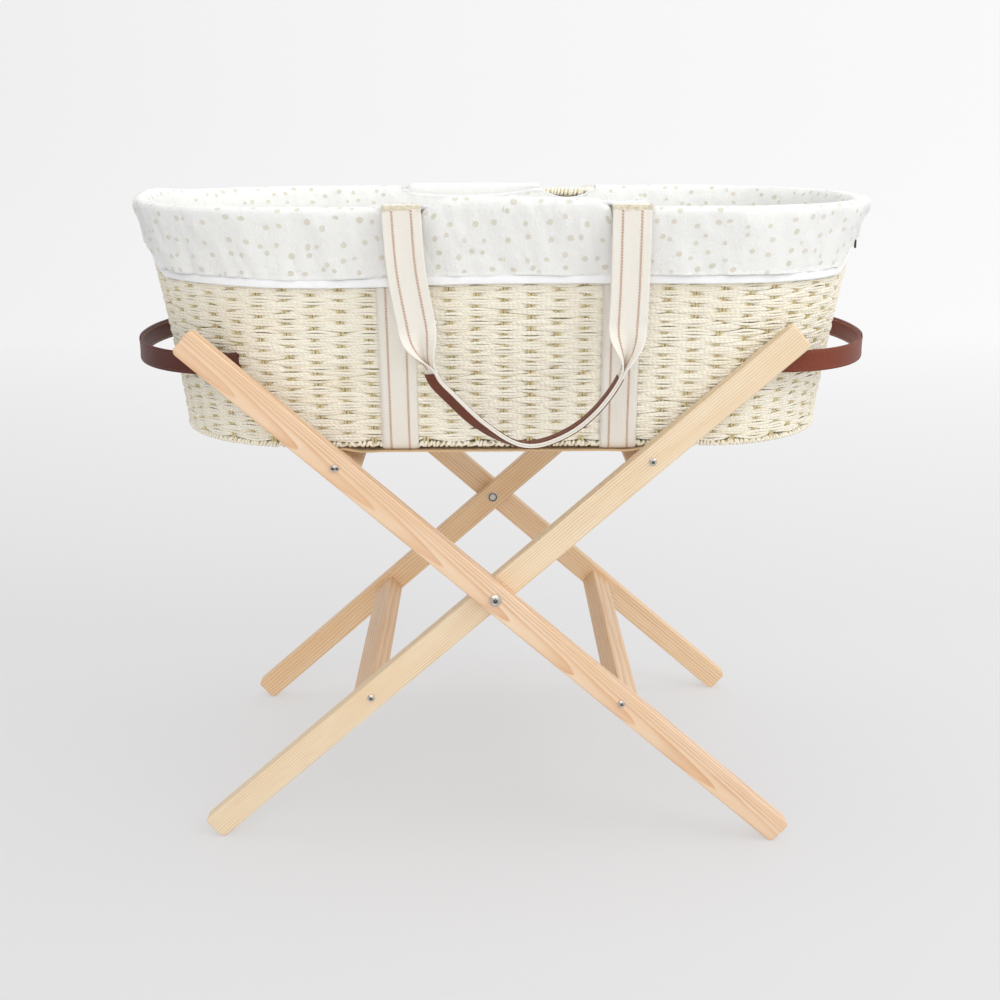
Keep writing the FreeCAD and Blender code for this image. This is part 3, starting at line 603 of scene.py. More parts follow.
# the inner face is another darker copy of the paper rope: painted shade on the wefts seen through the windows
SHADED_INNER_ROPE = paper_rope("inner_face_painted_shade_look", rgb(240, 226, 188), rgb(226, 210, 164), rgb(196, 174, 122))
WEB = webbing("webbing_look", rgb(239, 234, 225), rgb(226, 218, 201))
FOLD = webbing("webbing_fold_look", rgb(248, 238, 214), rgb(238, 222, 188))
TAN = webbing("safety_webbing_look", rgb(222, 190, 146), rgb(202, 164, 116))
THREAD = plain_cotton("brown_thread_look", rgb(190, 128, 76), rgb(162, 102, 56))
PALE_THREAD = plain_cotton("pale_thread_look", rgb(196, 160, 140), rgb(170, 128, 108))
MUSLIN = muslin("dotted_muslin_look", rgb(249, 249, 246))
TIE = plain_cotton("tie_cord_look", rgb(62, 52, 48), rgb(38, 32, 30))
BINDING = plain_cotton("binding_look", rgb(250, 250, 250), rgb(232, 233, 236))
COVER = plain_cotton("mattress_cover_look", rgb(246, 245, 241), rgb(228, 226, 220))
GRIP = leather("grip_leather_look", rgb(110, 49, 28), rgb(90, 40, 24), rgb(134, 70, 46))
# one leather in two copies: the left end's is darker as painted shade, the right end's paler as painted light
END_LEFT_SHADED = leather("end_leather_left_painted_shade_look", rgb(88, 40, 32), rgb(68, 31, 25), rgb(114, 60, 46))
END_RIGHT_LIT = leather("end_leather_right_painted_light_look", rgb(124, 56, 34), rgb(98, 43, 27), rgb(148, 76, 50))
# a dark metal that stands in for the shade inside sockets: painted shade
SOCKET_SHADE = metal("socket_painted_shade_look", (0.16, 0.15, 0.14), 0.45)
NICKEL = metal("nickel_look", (0.62, 0.58, 0.53))
PINE_A = pine("pine_outer_look", rgb(238, 214, 184), rgb(204, 142, 92), -LEG, cathedral=0.55, seed=3.7)
PINE_A2 = pine("pine_outer_rear_look", rgb(239, 214, 180), rgb(200, 146, 96), -LEG, seed=9.2)
PINE_B = pine("pine_inner_look", rgb(241, 225, 197), rgb(204, 166, 116), LEG, seed=5.1, pitch=0.0031,
              figure=0.65)
PINE_B2 = pine("pine_inner_rear_look", rgb(238, 210, 172), rgb(198, 144, 92), LEG, seed=1.3, figure=0.7)
PINE_RAIL = pine("pine_rail_look", rgb(234, 206, 172), rgb(198, 148, 104), 0.0, seed=7.9, figure=0.6,
                 crosswise=True)
DOWEL = pine("dowel_look", rgb(226, 196, 156), rgb(196, 158, 114), 0.0, seed=2.2, crosswise=True)


# ------------------------------------------------------------------ finishing a piece

def finish_piece(thing, look, body, replaces=()):
    """Give a piece its look, the body it rides on and the CAD nodes that it stands for."""
    thing.data.materials.clear()
    thing.data.materials.append(look)
    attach(thing, body)
    if replaces:
        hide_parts(*replaces)
    return thing


# ------------------------------------------------------------------ woven wall

STAKES = 70
ROWS = 39
WEAVE_LOW = WALL_LOW.z - 4 * MM            # the first weft rows hide the top of the foot border
ROW_GAP = (WALL_HIGH.z - WEAVE_LOW) / ROWS
WEFT_RADIUS = 1.66 * MM
STAKE_RADIUS = 1.5 * MM


def woven_rows(name, first, last):
    """Rows of three-strand weft that pass in front of and behind alternate stakes."""
    rows = np.repeat(np.arange(first, last), 3)
    strand = np.tile(np.arange(3), last - first) - 1
    samples = STAKES * 12
    s = np.arange(samples) / samples
    chance = np.random.default_rng(100 + first)
    spots = s * STAKES
    i = np.floor(spots).astype(int)
    f = smooth(spots - i)

    def drifting(scale):
        """A random value at each stake, eased from one to the next."""
        table = chance.normal(0, scale, (len(rows), STAKES))
        return table[:, i % STAKES] * (1 - f) + table[:, (i + 1) % STAKES] * f

    phase = (spots[None, :] + rows[:, None] + drifting(0.06)) * math.pi
    front = (np.cos(phase) + 1) / 2
    from_pinch = np.abs(((spots[None, :] + rows[:, None] + drifting(0.06)) % 2) - 1)
    pinch = np.exp(-(from_pinch / 0.25) ** 2)
    spread = (1.15 + 1.75 * front ** 1.2) * MM * (1 + drifting(0.07))
    bulge = 0.4 * MM * (strand[:, None] == 0) * front
    twist = np.sin(phase) * 0.4 * MM
    z = (WEAVE_LOW + (rows[:, None] + 0.5) * ROW_GAP + strand[:, None] * spread
         + twist * strand[:, None] + drifting(0.36 * MM) + noise(s, 0.5, 24, 3, 40 + first) * 0.9 * MM)
    away = (-1.75 - 4.9 * pinch) * MM + bulge + drifting(0.3 * MM)
    path, out = outline(s[None, :], z, away)
    radius = WEFT_RADIUS * (1 + drifting(0.05))
    # the tone falls where the weft dips in behind a stake: painted shade in that recess, on top of random
    # tone for each strand and row
    tone = 0.62 + drifting(0.2) - 0.45 * pinch + chance.normal(0, 0.1, (len(rows), 1))
    thing = strands(name, path, out, radius, closed=True, sides=7, tone=tone)
    return finish_piece(thing, ROPE, "basket")


WEAVE = [woven_rows(f"woven_rows_{i + 1}", first, min(first + 5, ROWS))
         for i, first in enumerate(range(0, ROWS, 5))]
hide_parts("basket_wall")


def wall_stakes():
    """Two upright cords behind each float, from the foot border to the rim border."""
    index = np.repeat(np.arange(STAKES), 2)
    pair = np.tile([-1, 1], STAKES)
    z = np.linspace(FOOT_LOW.z + 4 * MM, RIM_HIGH.z - 5 * MM, 96)
    chance = np.random.default_rng(5)
    lean = chance.normal(0, 0.5 * MM, (len(index), 1))
    s = index[:, None] / STAKES + (pair[:, None] * 1.75 * MM + lean * 0.4) / AROUND
    rows = (z - WEAVE_LOW) / ROW_GAP - 0.5
    sway = -0.7 * MM * np.cos(math.pi * (rows[None, :] + index[:, None]))
    path, out = outline(s, z[None, :], -4.2 * MM + sway)
    # the stakes' low tone adds to that painted shade, with random tone on top
    tone = 0.4 + chance.normal(0, 0.15, (len(index), len(z)))
    thing = strands("wall_stakes", path, out, STAKE_RADIUS, sides=6, tone=tone)
    finish_piece(thing, SHADED_STAKE_ROPE, "basket")


wall_stakes()


def weave_backing():
    """The inner face of the weave: wefts seen through the windows between the stakes, in a darker rope that
    paints their shade.
    """
    count = 260
    z = np.linspace(WEAVE_LOW, WALL_HIGH.z, 4 * ROWS + 1)
    s = np.arange(count) / count
    ripple = np.sin((z - WEAVE_LOW) / ROW_GAP * 2 * math.pi)[None, :] * 0.35 * MM
    grid, _ = outline(s[:, None], z[None, :], -6.6 * MM + ripple)
    thing = cloth_sheet("weave_inner_face", grid, 0.8 * MM, (np.arange(count + 1) / count * AROUND, z))
    finish_piece(thing, SHADED_INNER_ROPE, "basket")


weave_backing()


def wrapped_border(name, node, low, high, outer, pitch, thick, seed):
    """A cord core with rope wrapped round it, from 10 mm inside the wall's face to outer."""
    inner, steps, cut = -10 * MM, 14, 3
    turns = int(AROUND / pitch)
    total = turns * steps
    s = np.arange(total) / total
    chance = np.random.default_rng(seed)
    jitter = np.repeat(chance.normal(0, 0.34, turns), steps)
    angle = np.arange(total) / steps * 2 * math.pi
    middle_z, middle_out = (low + high) / 2, (inner + outer) / 2
    half_up, half_out = (high - low) / 2 - thick / 2, (outer - inner) / 2 - thick / 2
    c, d = np.cos(angle), np.sin(angle)
    up = np.sign(d) * np.abs(d) ** 0.85 * half_up
    out = np.sign(c) * np.abs(c) ** 0.85 * half_out
    along = (s + jitter * pitch / AROUND) % 1
    swell = noise(s, 0.5, 60, 3, seed) * 0.4 * MM
    path, _ = outline(along, middle_z + up + swell, middle_out + out + swell)
    centre, _ = outline(along, middle_z, middle_out)
    tone = 0.55 + np.repeat(chance.normal(0, 0.16, turns), steps)
    for part in range(cut):
        pick = np.arange(part * total // cut, (part + 1) * total // cut + 1) % total
        thing = strands(f"{name}_wrap_{part + 1}", path[None, pick], unit(path - centre)[None, pick],
                        thick / 2, sides=8, tone=tone[None, pick])
        finish_piece(thing, ROPE, "basket")
    core, face = outline(np.arange(500) / 500, middle_z, middle_out)
    # the core's low tone in the darker stake rope is painted shade in the gaps between the wraps
    thing = strands(f"{name}_core", core[None], face[None], half_out - thick * 0.2, closed=True, sides=10,
                    tall=half_up / half_out, tone=np.full((1, len(core)), 0.3))
    finish_piece(thing, SHADED_STAKE_ROPE, "basket", [node])


wrapped_border("foot_border", "basket_foot_border", FOOT_LOW.z, FOOT_HIGH.z - 4.5 * MM, 1 * MM, 4.3 * MM,
               3.2 * MM, 11)
wrapped_border("rim_border", "basket_rim_border", RIM_LOW.z, RIM_HIGH.z, 1.6 * MM, 4.4 * MM, 3.6 * MM, 12)


def base_weave():
    """The flat woven bottom, of long wefts over and under cross stakes."""
    low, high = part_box("basket_base")
    middle = (low.z + high.z) / 2
    a, b = high.x, high.y
    r = CORNER * half_width(low.z) + (a - half_length(low.z))
    gap, stake_gap, edge = 5.9 * MM, 27 * MM, 2 * MM
    chance = np.random.default_rng(21)

    def reach(y, half, other):
        """Half the base's size on a line at y from its middle, for corners of radius r."""
        over = np.clip(np.abs(y) - (other - r), 0, r)
        return half - r + np.sqrt(np.maximum(r * r - over * over, 0)) - edge

    rows = int((2 * b - 8 * MM) / gap)
    row = np.repeat(np.arange(rows), 2)
    y = (row - (rows - 1) / 2) * gap + np.tile([-1.35, 1.35], rows) * MM
    x = np.linspace(-1, 1, 150)[None, :] * reach(y, a, b)[:, None]
    wave = np.tanh(1.5 * np.cos((x / stake_gap + row[:, None]) * math.pi)) / math.tanh(1.5)
    drift = chance.normal(0, 0.25 * MM, (len(y), 1))
    path = np.stack([x, np.broadcast_to(y[:, None] + drift, x.shape), middle + 2.1 * MM * wave], -1)
    tone = np.broadcast_to(0.5 + chance.normal(0, 0.2, (len(y), 1)), x.shape)
    thing = strands("base_weave_rows", path, [0, 0, 1], 1.45 * MM, sides=6, tone=tone)
    finish_piece(thing, ROPE, "basket", ["basket_base"])
    count = int(2 * a / stake_gap) + 1
    x = np.repeat((np.arange(count) - (count - 1) / 2) * stake_gap, 2) + np.tile([-1.6, 1.6], count) * MM
    x = x[np.abs(x) < a - 12 * MM]
    y = np.linspace(-1, 1, 60)[None, :] * reach(x, b, a)[:, None]
    path = np.stack([np.broadcast_to(x[:, None], y.shape), y, np.full(y.shape, middle)], -1)
    # the base's stakes carry the same painted shade as the wall's stakes
    thing = strands("base_weave_stakes", path, [0, 0, 1], STAKE_RADIUS, sides=6, tone=np.full(y.shape, 0.4))
    finish_piece(thing, SHADED_STAKE_ROPE, "basket")


base_weave()


# ------------------------------------------------------------------ liner

_, HEM_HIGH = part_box("liner_hem_binding")
LINER_LOW, LINER_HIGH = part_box("liner")
BAND_BOXES = [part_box("webbing_band_left"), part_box("webbing_band_right")]
CLOTH_THICK = 0.9 * MM
AROUND_CLOTH = 600              # the cloth's grid of points, round the basket and from hem to hem
ACROSS_CLOTH = 80
SLOT_LOW, SLOT_HIGH = -0.129, 0.155        # the openings for the carry handles
REAR_SLOT_HIGH = 0.127


def over_bands(points, reach=0.016):
    """1 where the cloth passes over a webbing band on a long side, falling to 0 beside it."""
    share = np.zeros(points.shape[:-1])
    for low, high in BAND_BOXES:
        middle, half = (low.x + high.x) / 2, (high.x - low.x) / 2
        share = np.maximum(share, 1 - smooth((np.abs(points[..., 0] - middle) - half + 2 * MM) / reach))
    return share


def hem_end(s):
    """0 along the sides and 1 round each end, where the skirt is pulled up."""
    turned = np.abs(outline(s, MID_Z)[1][..., 0])
    return smooth((turned - 0.80) / 0.195)


def hem_height(s):
    """The hem hangs a little unevenly, and both ends are pulled up."""
    points, _ = outline(s, MID_Z)
    dip = hump(points[..., 0], -0.2, 0.1) * (points[..., 1] < 0)
    return HEM_HIGH.z - 1 * MM - 4 * MM * dip + noise(s, 0.5, 18, 3, 61) * 1.6 * MM + hem_end(s) * 27 * MM


def slots(s):
    """Where a point of the rim lies in the front's and in the rear's handle opening."""
    points, _ = outline(s, RIM_Z)
    x = points[..., 0]
    inside = (x > SLOT_LOW) & (x < SLOT_HIGH)
    return x, inside & (points[..., 1] < 0), inside & (points[..., 1] > 0) & (x < REAR_SLOT_HIGH)


def liner_section(s):
    """The cloth's section at each place round the basket, from the hem over the rim to the basket's floor.

    Returns its height, its distance from the wall's face, and its length up to each point and each knot."""
    hem = hem_height(s)
    top, crown = LINER_HIGH.z - 0.8 * MM, RIM_Z
    knots = [(hem + (crown - 4 * MM - hem) * share, away)
             for share, away in ((0.0, 2.4), (0.25, 2.8), (0.6, 4.2), (0.85, 5.2))]
    knots += [(np.full_like(s, z), away) for z, away in (
        (crown - 3.4 * MM, 5.4), (top - 1.2 * MM, 3.2), (top, -0.5), (top, -5.0), (top - 1.4 * MM, -9.2),
        (crown - 6 * MM, -11.4), (crown - 30 * MM, -12.4), (crown - 90 * MM, -12.2),
        (crown - 170 * MM, -12.0),
        (LINER_LOW.z + 12 * MM, -12.4), (LINER_LOW.z + 2.5 * MM, -14.0), (LINER_LOW.z + 0.8 * MM, -28.0))]
    knots_z = np.stack([z for z, _ in knots], 1)
    knots_away = np.stack([np.full_like(s, away * MM) for _, away in knots], 1)
    steps = np.hypot(np.diff(knots_z.mean(0)), np.diff(knots_away.mean(0)))
    run = np.concatenate([[0], np.cumsum(steps)])
    where = np.linspace(0, run[-1], ACROSS_CLOTH)
    at = np.clip(np.searchsorted(run, where, "right") - 1, 0, len(run) - 2)
    h = run[at + 1] - run[at]
    t = (where - run[at]) / h

    def curve(values):
        slope = np.gradient(values, run, axis=1)
        return (values[:, at] * (1 + 2 * t) * (1 - t) ** 2 + slope[:, at] * h * t * (1 - t) ** 2
                + values[:, at + 1] * t * t * (3 - 2 * t) + slope[:, at + 1] * h * t * t * (t - 1))

    return curve(knots_z), curve(knots_away), where, run


def liner_folds(s, z, away, where, run):
    """Folds and crinkles, fuller outside the rim and at the ends, and none inside the basket or its wall."""
    u, v = s[:, None], where[None, :] / run[-1]
    outside = 1 - smooth((where - run[4]) / (run[6] - run[4]))[None, :]
    hanging = smooth(np.abs(where - run[5]) / 0.02)[None, :]
    ends = smooth((np.abs(outline(u, MID_Z)[1][..., 0]) - 0.3) / 0.5)
    folds = (noise(u, v, 90, 3, 71) * 0.9 + noise(u + v * 0.05, v, 46, 5, 72) * 1.1
             + noise(u, v, 210, 14, 73) * 0.5 + np.abs(noise(u + v * 0.06, v, 130, 6, 74)) * 1.3)
    folds = folds * (1 + 0.9 * ends * outside)
    crinkle = noise(u, v, 250, 50, 75) * 0.5 + noise(u, v, 290, 70, 76) * 0.2
    away = away + ((folds * 0.9 * hanging * (0.35 + 0.65 * outside) + folds * 0.35) * 1.25
                   + crinkle + 0.3) * MM * np.where(outside > 0.5, 1, -1)
    z = z + noise(u, v, 60, 4, 77) * 0.8 * MM * hanging
    # the left end's rim stands up a little and the right end's leans out
    rim, _ = outline(s, RIM_Z)
    near_top = hump(where[None, :], run[6], 0.03)
    left = hump(rim[:, 1], 0.02, 0.07) * (rim[:, 0] < -0.3)
    right = hump(rim[:, 1], 0.03, 0.08) * (rim[:, 0] > 0.3)
    z = z + left[:, None] * 7 * MM * near_top
    away = away + right[:, None] * 7 * MM * near_top * smooth((away + 4 * MM) / (9 * MM))
    points, _ = outline(u, z)
    least = np.where(outside > 0.5, 1.6 * MM + over_bands(points) * outside * 2.3 * MM, -100)
    most = np.where(outside > 0.5, 100, -11.2 * MM)
    away = np.where(z < RIM_Z - 6 * MM, np.clip(away, least, most), away)
    return np.maximum(z, LINER_LOW.z + 0.6 * MM), away


def pulled(values, target, line, share):
    """Move the cloth so that the points on its line reach the target, and the rest by their share."""
    return values + (target - values[:, line])[:, None] * share


def liner_shape():
    """The liner's grid of points, its UVs, the cells to keep, the openings' edges and its plain side."""
    s = np.arange(AROUND_CLOTH) / AROUND_CLOTH
    z, away, where, run = liner_section(s)
    z, away = liner_folds(s, z, away, where, run)

    # handle openings: their outer and inner edges lie on two of the cloth's lines
    x, front, rear = slots(s)
    outer_line = int(np.searchsorted(where, run[5] + 0.5 * MM))
    inner_line = int(np.searchsorted(where, run[8]))
    keep = np.ones((AROUND_CLOTH, ACROSS_CLOTH - 1), bool)
    cut = front | rear
    keep[:, outer_line:inner_line] = ~(cut & np.roll(cut, -1))[:, None]
    slot_end = np.where(rear, REAR_SLOT_HIGH, SLOT_HIGH)
    ease = smooth((x - SLOT_LOW) / 0.012) * smooth((slot_end - x) / 0.012)
    last = np.arange(ACROSS_CLOTH)[None, :]
    outer, flap = last <= outer_line, 11
    t = np.clip((last - (outer_line - flap)) / flap, 0, 1)

    # the skirt's edge in front stands up between the straps and drops to the rim beside them
    rise = 1 - (1 - np.clip((x + 0.0855) / 0.046, 0, 1)) ** 2.6
    rise = rise * (1 - (1 - np.clip((0.1125 - x) / 0.021, 0, 1)) ** 2.6)
    edge_z = 0.7175 + 0.0195 * rise - 0.0025 * np.clip((x + 0.039) / 0.13, 0, 1)
    share = outer * t ** 1.5 * (ease * front)[:, None]
    z = pulled(z, edge_z, outer_line, share)
    away = pulled(away, (2.4 + rise) * MM, outer_line, share)

    # the skirt's edge at the rear is folded in over the rim, except in a gap that shows the woven edge
    gap = smooth((x - 0.050) / 0.014)
    droop = 0.7222 - 0.0088 * np.maximum(1 - ((x + 0.050) / 0.094) ** 2, 0)
    marks, turned, inside_z = [0, 0.22, 0.42, 0.6, 0.78, 1], 0.78, 0.7262
    over_away = np.interp(t, marks, [5.2, 5.0, 2.0, -5.5, -12.6, -13.4]) * MM
    over_z = np.interp(t, marks[:5], [0.716, 0.7225, 0.7285, 0.7296, inside_z])
    falling = inside_z + (droop[:, None] - inside_z) * (t - turned) / (1 - turned)
    over_z = np.where(t > turned, falling, over_z)
    wrong_side = ease * rear * (1 - gap)
    share = outer * smooth(t / 0.2) * wrong_side[:, None]
    z, away = z + (over_z - z) * share, away + (over_away - away) * share
    share = outer * t ** 1.5 * (ease * rear * gap)[:, None]
    z = pulled(z, 0.7195, outer_line, share)
    away = pulled(away, 4.2 * MM, outer_line, share)

    # the lining's own edge
    lens = np.maximum(1 - ((x - 0.090) / 0.034) ** 2, 0)
    hang = np.where(rear, 0.7213 - 0.0100 * lens, 0.7275 + 0.004 * smooth((x - 0.02) / 0.05))
    fall = np.clip((inner_line + 9 - last) / 9, 0, 1) ** 1.5
    share = (last >= inner_line) * fall * (ease * cut)[:, None]
    z = pulled(z, hang, inner_line, share)
    away = pulled(away, np.where(rear, -11.8, -3.0) * MM, inner_line, share)
    grid, _ = outline(s[:, None], z, away)
    plain = smooth((last - (outer_line - 7)) / 2.0) * outer * wrong_side[:, None]
    edges = []
    for place, side in (("front", front), ("rear", rear)):
        index = np.nonzero(side)[0]
        if place == "front":
            index = np.roll(index, -int(np.argmax(np.diff(index) > 1)) - 1)
        for part, at_line in (("skirt", outer_line), ("lining", inner_line)):
            edges.append((f"{place}_{part}", grid[index, at_line], outline(s[index], RIM_Z)[1]))
    return grid, (np.append(s, 1) * AROUND, where), keep, edges, plain


def liner():
    """The cloth itself, one closed sheet. Returns the edges of its handle openings."""
    grid, (u, v), keep, edges, plain = liner_shape()
    thing = cloth_sheet("liner_cloth", grid, CLOTH_THICK, (u, v), keep, plain)
    finish_piece(thing, MUSLIN, "basket", ["liner"])
    return edges


SLOT_EDGES = liner()


def hem_binding():
    """The white folded binding sewn along the liner's hem; at the ends it is turned under."""
    count, sides = 900, 14
    s = np.arange(count) / count
    tuck = hem_end(s)
    z = hem_height(s) - 4.0 * MM + 2.5 * MM * tuck
    lift = over_bands(outline(s, z)[0]) * 2.2 * MM
    away = 2.3 * MM + lift - 0.9 * MM * tuck
    path, out = outline(s, z, away)
    t = tangents(path[None], True)[0]
    n = unit(out - (out * t).sum(-1, keepdims=True) * t)
    up = np.cross(n, t)
    angle = np.arange(sides) / sides * 2 * math.pi
    half_up = (5.2 - 3.2 * tuck) * MM
    square = np.sign(np.sin(angle)) * np.abs(np.sin(angle)) ** 0.8
    bulge = 1.0 * MM + 0.25 * MM * noise(s, 0.5, 150, 3, 81)[:, None, None]
    rings = (path[:, None] + bulge * np.cos(angle)[None, :, None] * n[:, None]
             + half_up[:, None, None] * square[None, :, None] * up[:, None])
    around = np.linspace(0, 22.4 * MM, sides + 1)
    thing = skin("liner_binding", rings[None], True, (lengths(path[None], True), around))
    finish_piece(thing, BINDING, "basket", ["liner_hem_binding"])
    line, out = outline(s, z + half_up * 0.72, away + 0.75 * MM)
    thing = stitches("liner_binding_stitches", line, out, 2.4 * MM, 1.1 * MM, 0.45 * MM, 0.05 * MM,
                     closed=True)
    finish_piece(thing, BINDING, "basket")


def slot_bindings():
    """The folded binding on each edge of the handle openings."""
    half = 1.15 * MM
    for place, edge, out in SLOT_EDGES:
        line, run = spline(edge[::2], 220)
        out = np.stack([np.interp(run, np.linspace(0, run[-1], len(out)), out[:, i]) for i in range(3)], -1)
        t = unit(np.gradient(line, axis=0))
        n = unit(out - (out * t).sum(-1, keepdims=True) * t)
        up = np.cross(n, t)
        up = up * np.sign(up[:, 2:])
        high = (1.5 if place == "rear_lining" else 2.4) * MM
        path = line - up * (high - 0.7 * MM)
        thing = strands(f"slot_binding_{place}", path[None], n[None], half, sides=12, tall=high / half)
        finish_piece(thing, BINDING, "basket")


hem_binding()
slot_bindings()


def liner_tie():
    """The end of a dark cord that ties the liner on, showing under the hem at the right end."""
    s = np.linspace(0, 1, 2001)
    ends, _ = outline(s, 0.66)
    at = s[np.argmin(np.hypot(ends[:, 0] - 0.40, ends[:, 1] + 0.075))]
    t = np.linspace(0, 1, 24)
    loop = 3.0 * MM * np.sin(t * 2 * math.pi)
    path, out = outline(at + loop / AROUND, hem_height(np.full(24, at)) - (1 + 8 * np.sin(t * math.pi)) * MM,
                        3.2 * MM + 1.5 * MM * np.sin(t * math.pi))
    thing = strands("liner_tie", path[None], out[None], 1.2 * MM, sides=8)
    finish_piece(thing, TIE, "basket")


liner_tie()


# ------------------------------------------------------------------ mattress

def swell(thing, cap):
    """Blow a pad up as cloth under pressure. Returns its points, each moved by no more than the cap."""
    bpy.context.view_layer.objects.active = thing
    bpy.ops.object.modifier_apply(modifier="even")
    rest = points_of(thing.data)
    cloth = thing.modifiers.new("swell", "CLOTH")
    cloth.settings.use_pressure = True
    cloth.settings.uniform_pressure_force = 4.0
    cloth.settings.effector_weights.gravity = 0
    cloth.settings.quality = 5
    for step in range(1, 21):
        bpy.context.scene.frame_set(step)
    shift = points_of(thing.evaluated_get(bpy.context.evaluated_depsgraph_get()).data) - rest
    thing.modifiers.remove(cloth)
    bpy.context.scene.frame_set(1)
    size = np.linalg.norm(shift, axis=1, keepdims=True)
    return rest + shift * np.minimum(1, cap / np.maximum(size, 1e-9))


def mattress():
    """The flat mattress inside the liner, padded by simulation from a smaller copy of its CAD solid."""
    low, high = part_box("mattress")
    thing = bpy.data.objects.new("mattress_pad", frame["nodes"]["mattress"].data.copy())
    thing.data.name = "mattress_pad"
    bpy.context.scene.collection.objects.link(thing)
    middle = np.array([0, 0, (low.z + high.z) / 2])
    points = (points_of(thing.data) - middle) * [0.985, 0.965, 0.72] + middle
    thing.data.vertices.foreach_set("co", flat_array(points))
    thing.data.update()
    remesh = thing.modifiers.new("even", "REMESH")
    remesh.mode, remesh.voxel_size = "VOXEL", 6 * MM
    points = swell(thing, 9 * MM)
    points[:, 2] = np.maximum(points[:, 2], low.z + 0.2 * MM)
    thing.data.vertices.foreach_set("co", flat_array(points))
    thing.data.update()
    divide = thing.modifiers.new("fine", "SUBSURF")
    divide.levels = divide.render_levels = 1
    bpy.ops.object.modifier_apply(modifier="fine")
    for polygon in thing.data.polygons:
        polygon.use_smooth = True
    finish_piece(thing, COVER, "mattress", ["mattress"])


mattress()


# ------------------------------------------------------------------ webbing bands and their stitching

WEBBING_WIDTH = 40 * MM
SEAMS = (-0.25, 0.25)           # the two sewn lines, as shares of the webbing's width


def seam(name, line, normals, body):
    """One slanting sewn line along webbing."""
    thing = stitches(name, line, normals, 2.2 * MM, 0.9 * MM, 1.15 * MM, 0.2 * MM, slant=2.4 * MM)
    finish_piece(thing, THREAD, body)


def band_path(off):
    """Down the front wall from under the liner, across under the base and up the rear wall."""
    low, high = BAND_BOXES[0]
    under = low.z + 1.8 * MM - off
    heights = np.linspace(high.z, FLOOR_Z + 9 * MM, 60)
    wall = np.stack([-(half_width(heights) + off), heights], 1)
    a = np.linspace(0, math.pi / 2, 14)[1:]
    corner = wall[-1] + np.stack([(1 - np.cos(a)) * 8 * MM, -np.sin(a) * (wall[-1, 1] - under)], 1)
    flat = np.stack([np.linspace(corner[-1, 0], 0, 26)[1:], np.full(25, under)], 1)
    half = np.concatenate([wall, corner, flat])
    return np.concatenate([half, half[-2::-1] * [-1, 1]])


def webbing_bands():
    """The two bands round the basket, with their sewn lines; the left one sits a little off its solid."""
    thick = 1.7 * MM
    for place, shift, (low, high) in zip(("left", "right"), (-2.5 * MM, 0), BAND_BOXES):
        middle, width = (low.x + high.x) / 2 + shift, high.x - low.x
        yz = band_path(1.35 * MM)
        wander = noise(np.linspace(0, 0.99, len(yz)), 0.5, 12, 3, 90) * 0.5 * MM
        path = np.column_stack([middle + wander, yz])
        thing = band(f"webbing_{place}", path, [1, 0, 0], width, thick)
        finish_piece(thing, WEB, "basket", [f"webbing_band_{place}"])
        out = np.cross(unit(np.gradient(path, axis=0)), [1, 0, 0])
        for number, share in enumerate(SEAMS):
            line = path + np.array([share * width, 0, 0]) + out * thick / 2
            seam(f"webbing_{place}_stitches_{number + 1}", line, out, "basket")


webbing_bands()


# ------------------------------------------------------------------ carry handles

HINGE_Y, HINGE_Z = 0.2192, joint_place("carry_handle_front_swing")[2]
# the handle's middle line seen from the front: distance along the basket and height, in millimetres
HANDLE_LINE = [(-104, 724.6), (-100, 665), (-90, 605), (-84, 570), (-77, 549), (-60, 530), (-28, 501),
               (20, 482), (67, 496), (105, 530), (125, 566), (128, 610), (130, 724.6)]
GRIP_TOP_LEFT, GRIP_TOP_RIGHT, SEAM_LOW = 0.5595, 0.5565, 0.560


def fold_section(fold, width, count, sharp=0.085):
    """Half-folded webbing in section: fold is 0 flat and 1 folded double. Returns its line and its normal."""
    q = np.linspace(-1, 1, count)
    turn = fold[:, None] * math.pi / 2 * np.tanh(q / sharp)[None, :]
    step = (width / (count - 1))[:, None]
    dx, dy = np.cos(turn) * step, np.abs(np.sin(turn)) * np.sign(turn) * step
    mid = (dx[:, 1:] + dx[:, :-1]) / 2, (dy[:, 1:] + dy[:, :-1]) / 2
    x = np.concatenate([np.zeros((len(fold), 1)), np.cumsum(mid[0], 1)], 1)
    y = np.concatenate([np.zeros((len(fold), 1)), np.cumsum(mid[1], 1)], 1)
    centre = count // 2
    x, y = x - (x[:, :1] + x[:, -1:]) / 2, y - y[:, centre:centre + 1]
    return x, y, -np.sin(turn), np.cos(turn)


def handle_line(side, count):
    """Points along the handle, how far it has folded there, and the directions across and into the fold."""
    line, run = spline(np.array(HANDLE_LINE) * MM, count)
    if side > 0:        # the rear handle's fold sits a little lower, below the liner's rim
        line[:, 1] -= 3.5 * MM * smooth((line[:, 1] - 0.66) / 0.06)
    x, z = line[:, 0], line[:, 1]
    dx, dz = unit(np.gradient(line, axis=0)).T
    level = np.zeros(count)
    folded = smooth((0.610 - z) / 0.052)
    roll = (np.radians(1) + np.radians(39) * smooth((0.045 - x) / 0.095)) * smooth((0.60 - z) / 0.05)
    toward, inward = np.array([0, side, 0]), np.stack([-dz, level, dx], 1)
    opening = unit(toward * np.cos(roll)[:, None] + inward * np.sin(roll)[:, None])
    wide = -side * np.cross(opening, np.stack([dx, level, dz], 1))
    hang = HINGE_Y + 3.2 * MM + smooth((HINGE_Z - z) / 0.03) * 0.6 * MM
    return np.stack([x, side * hang, z], 1), run, folded, wide, opening


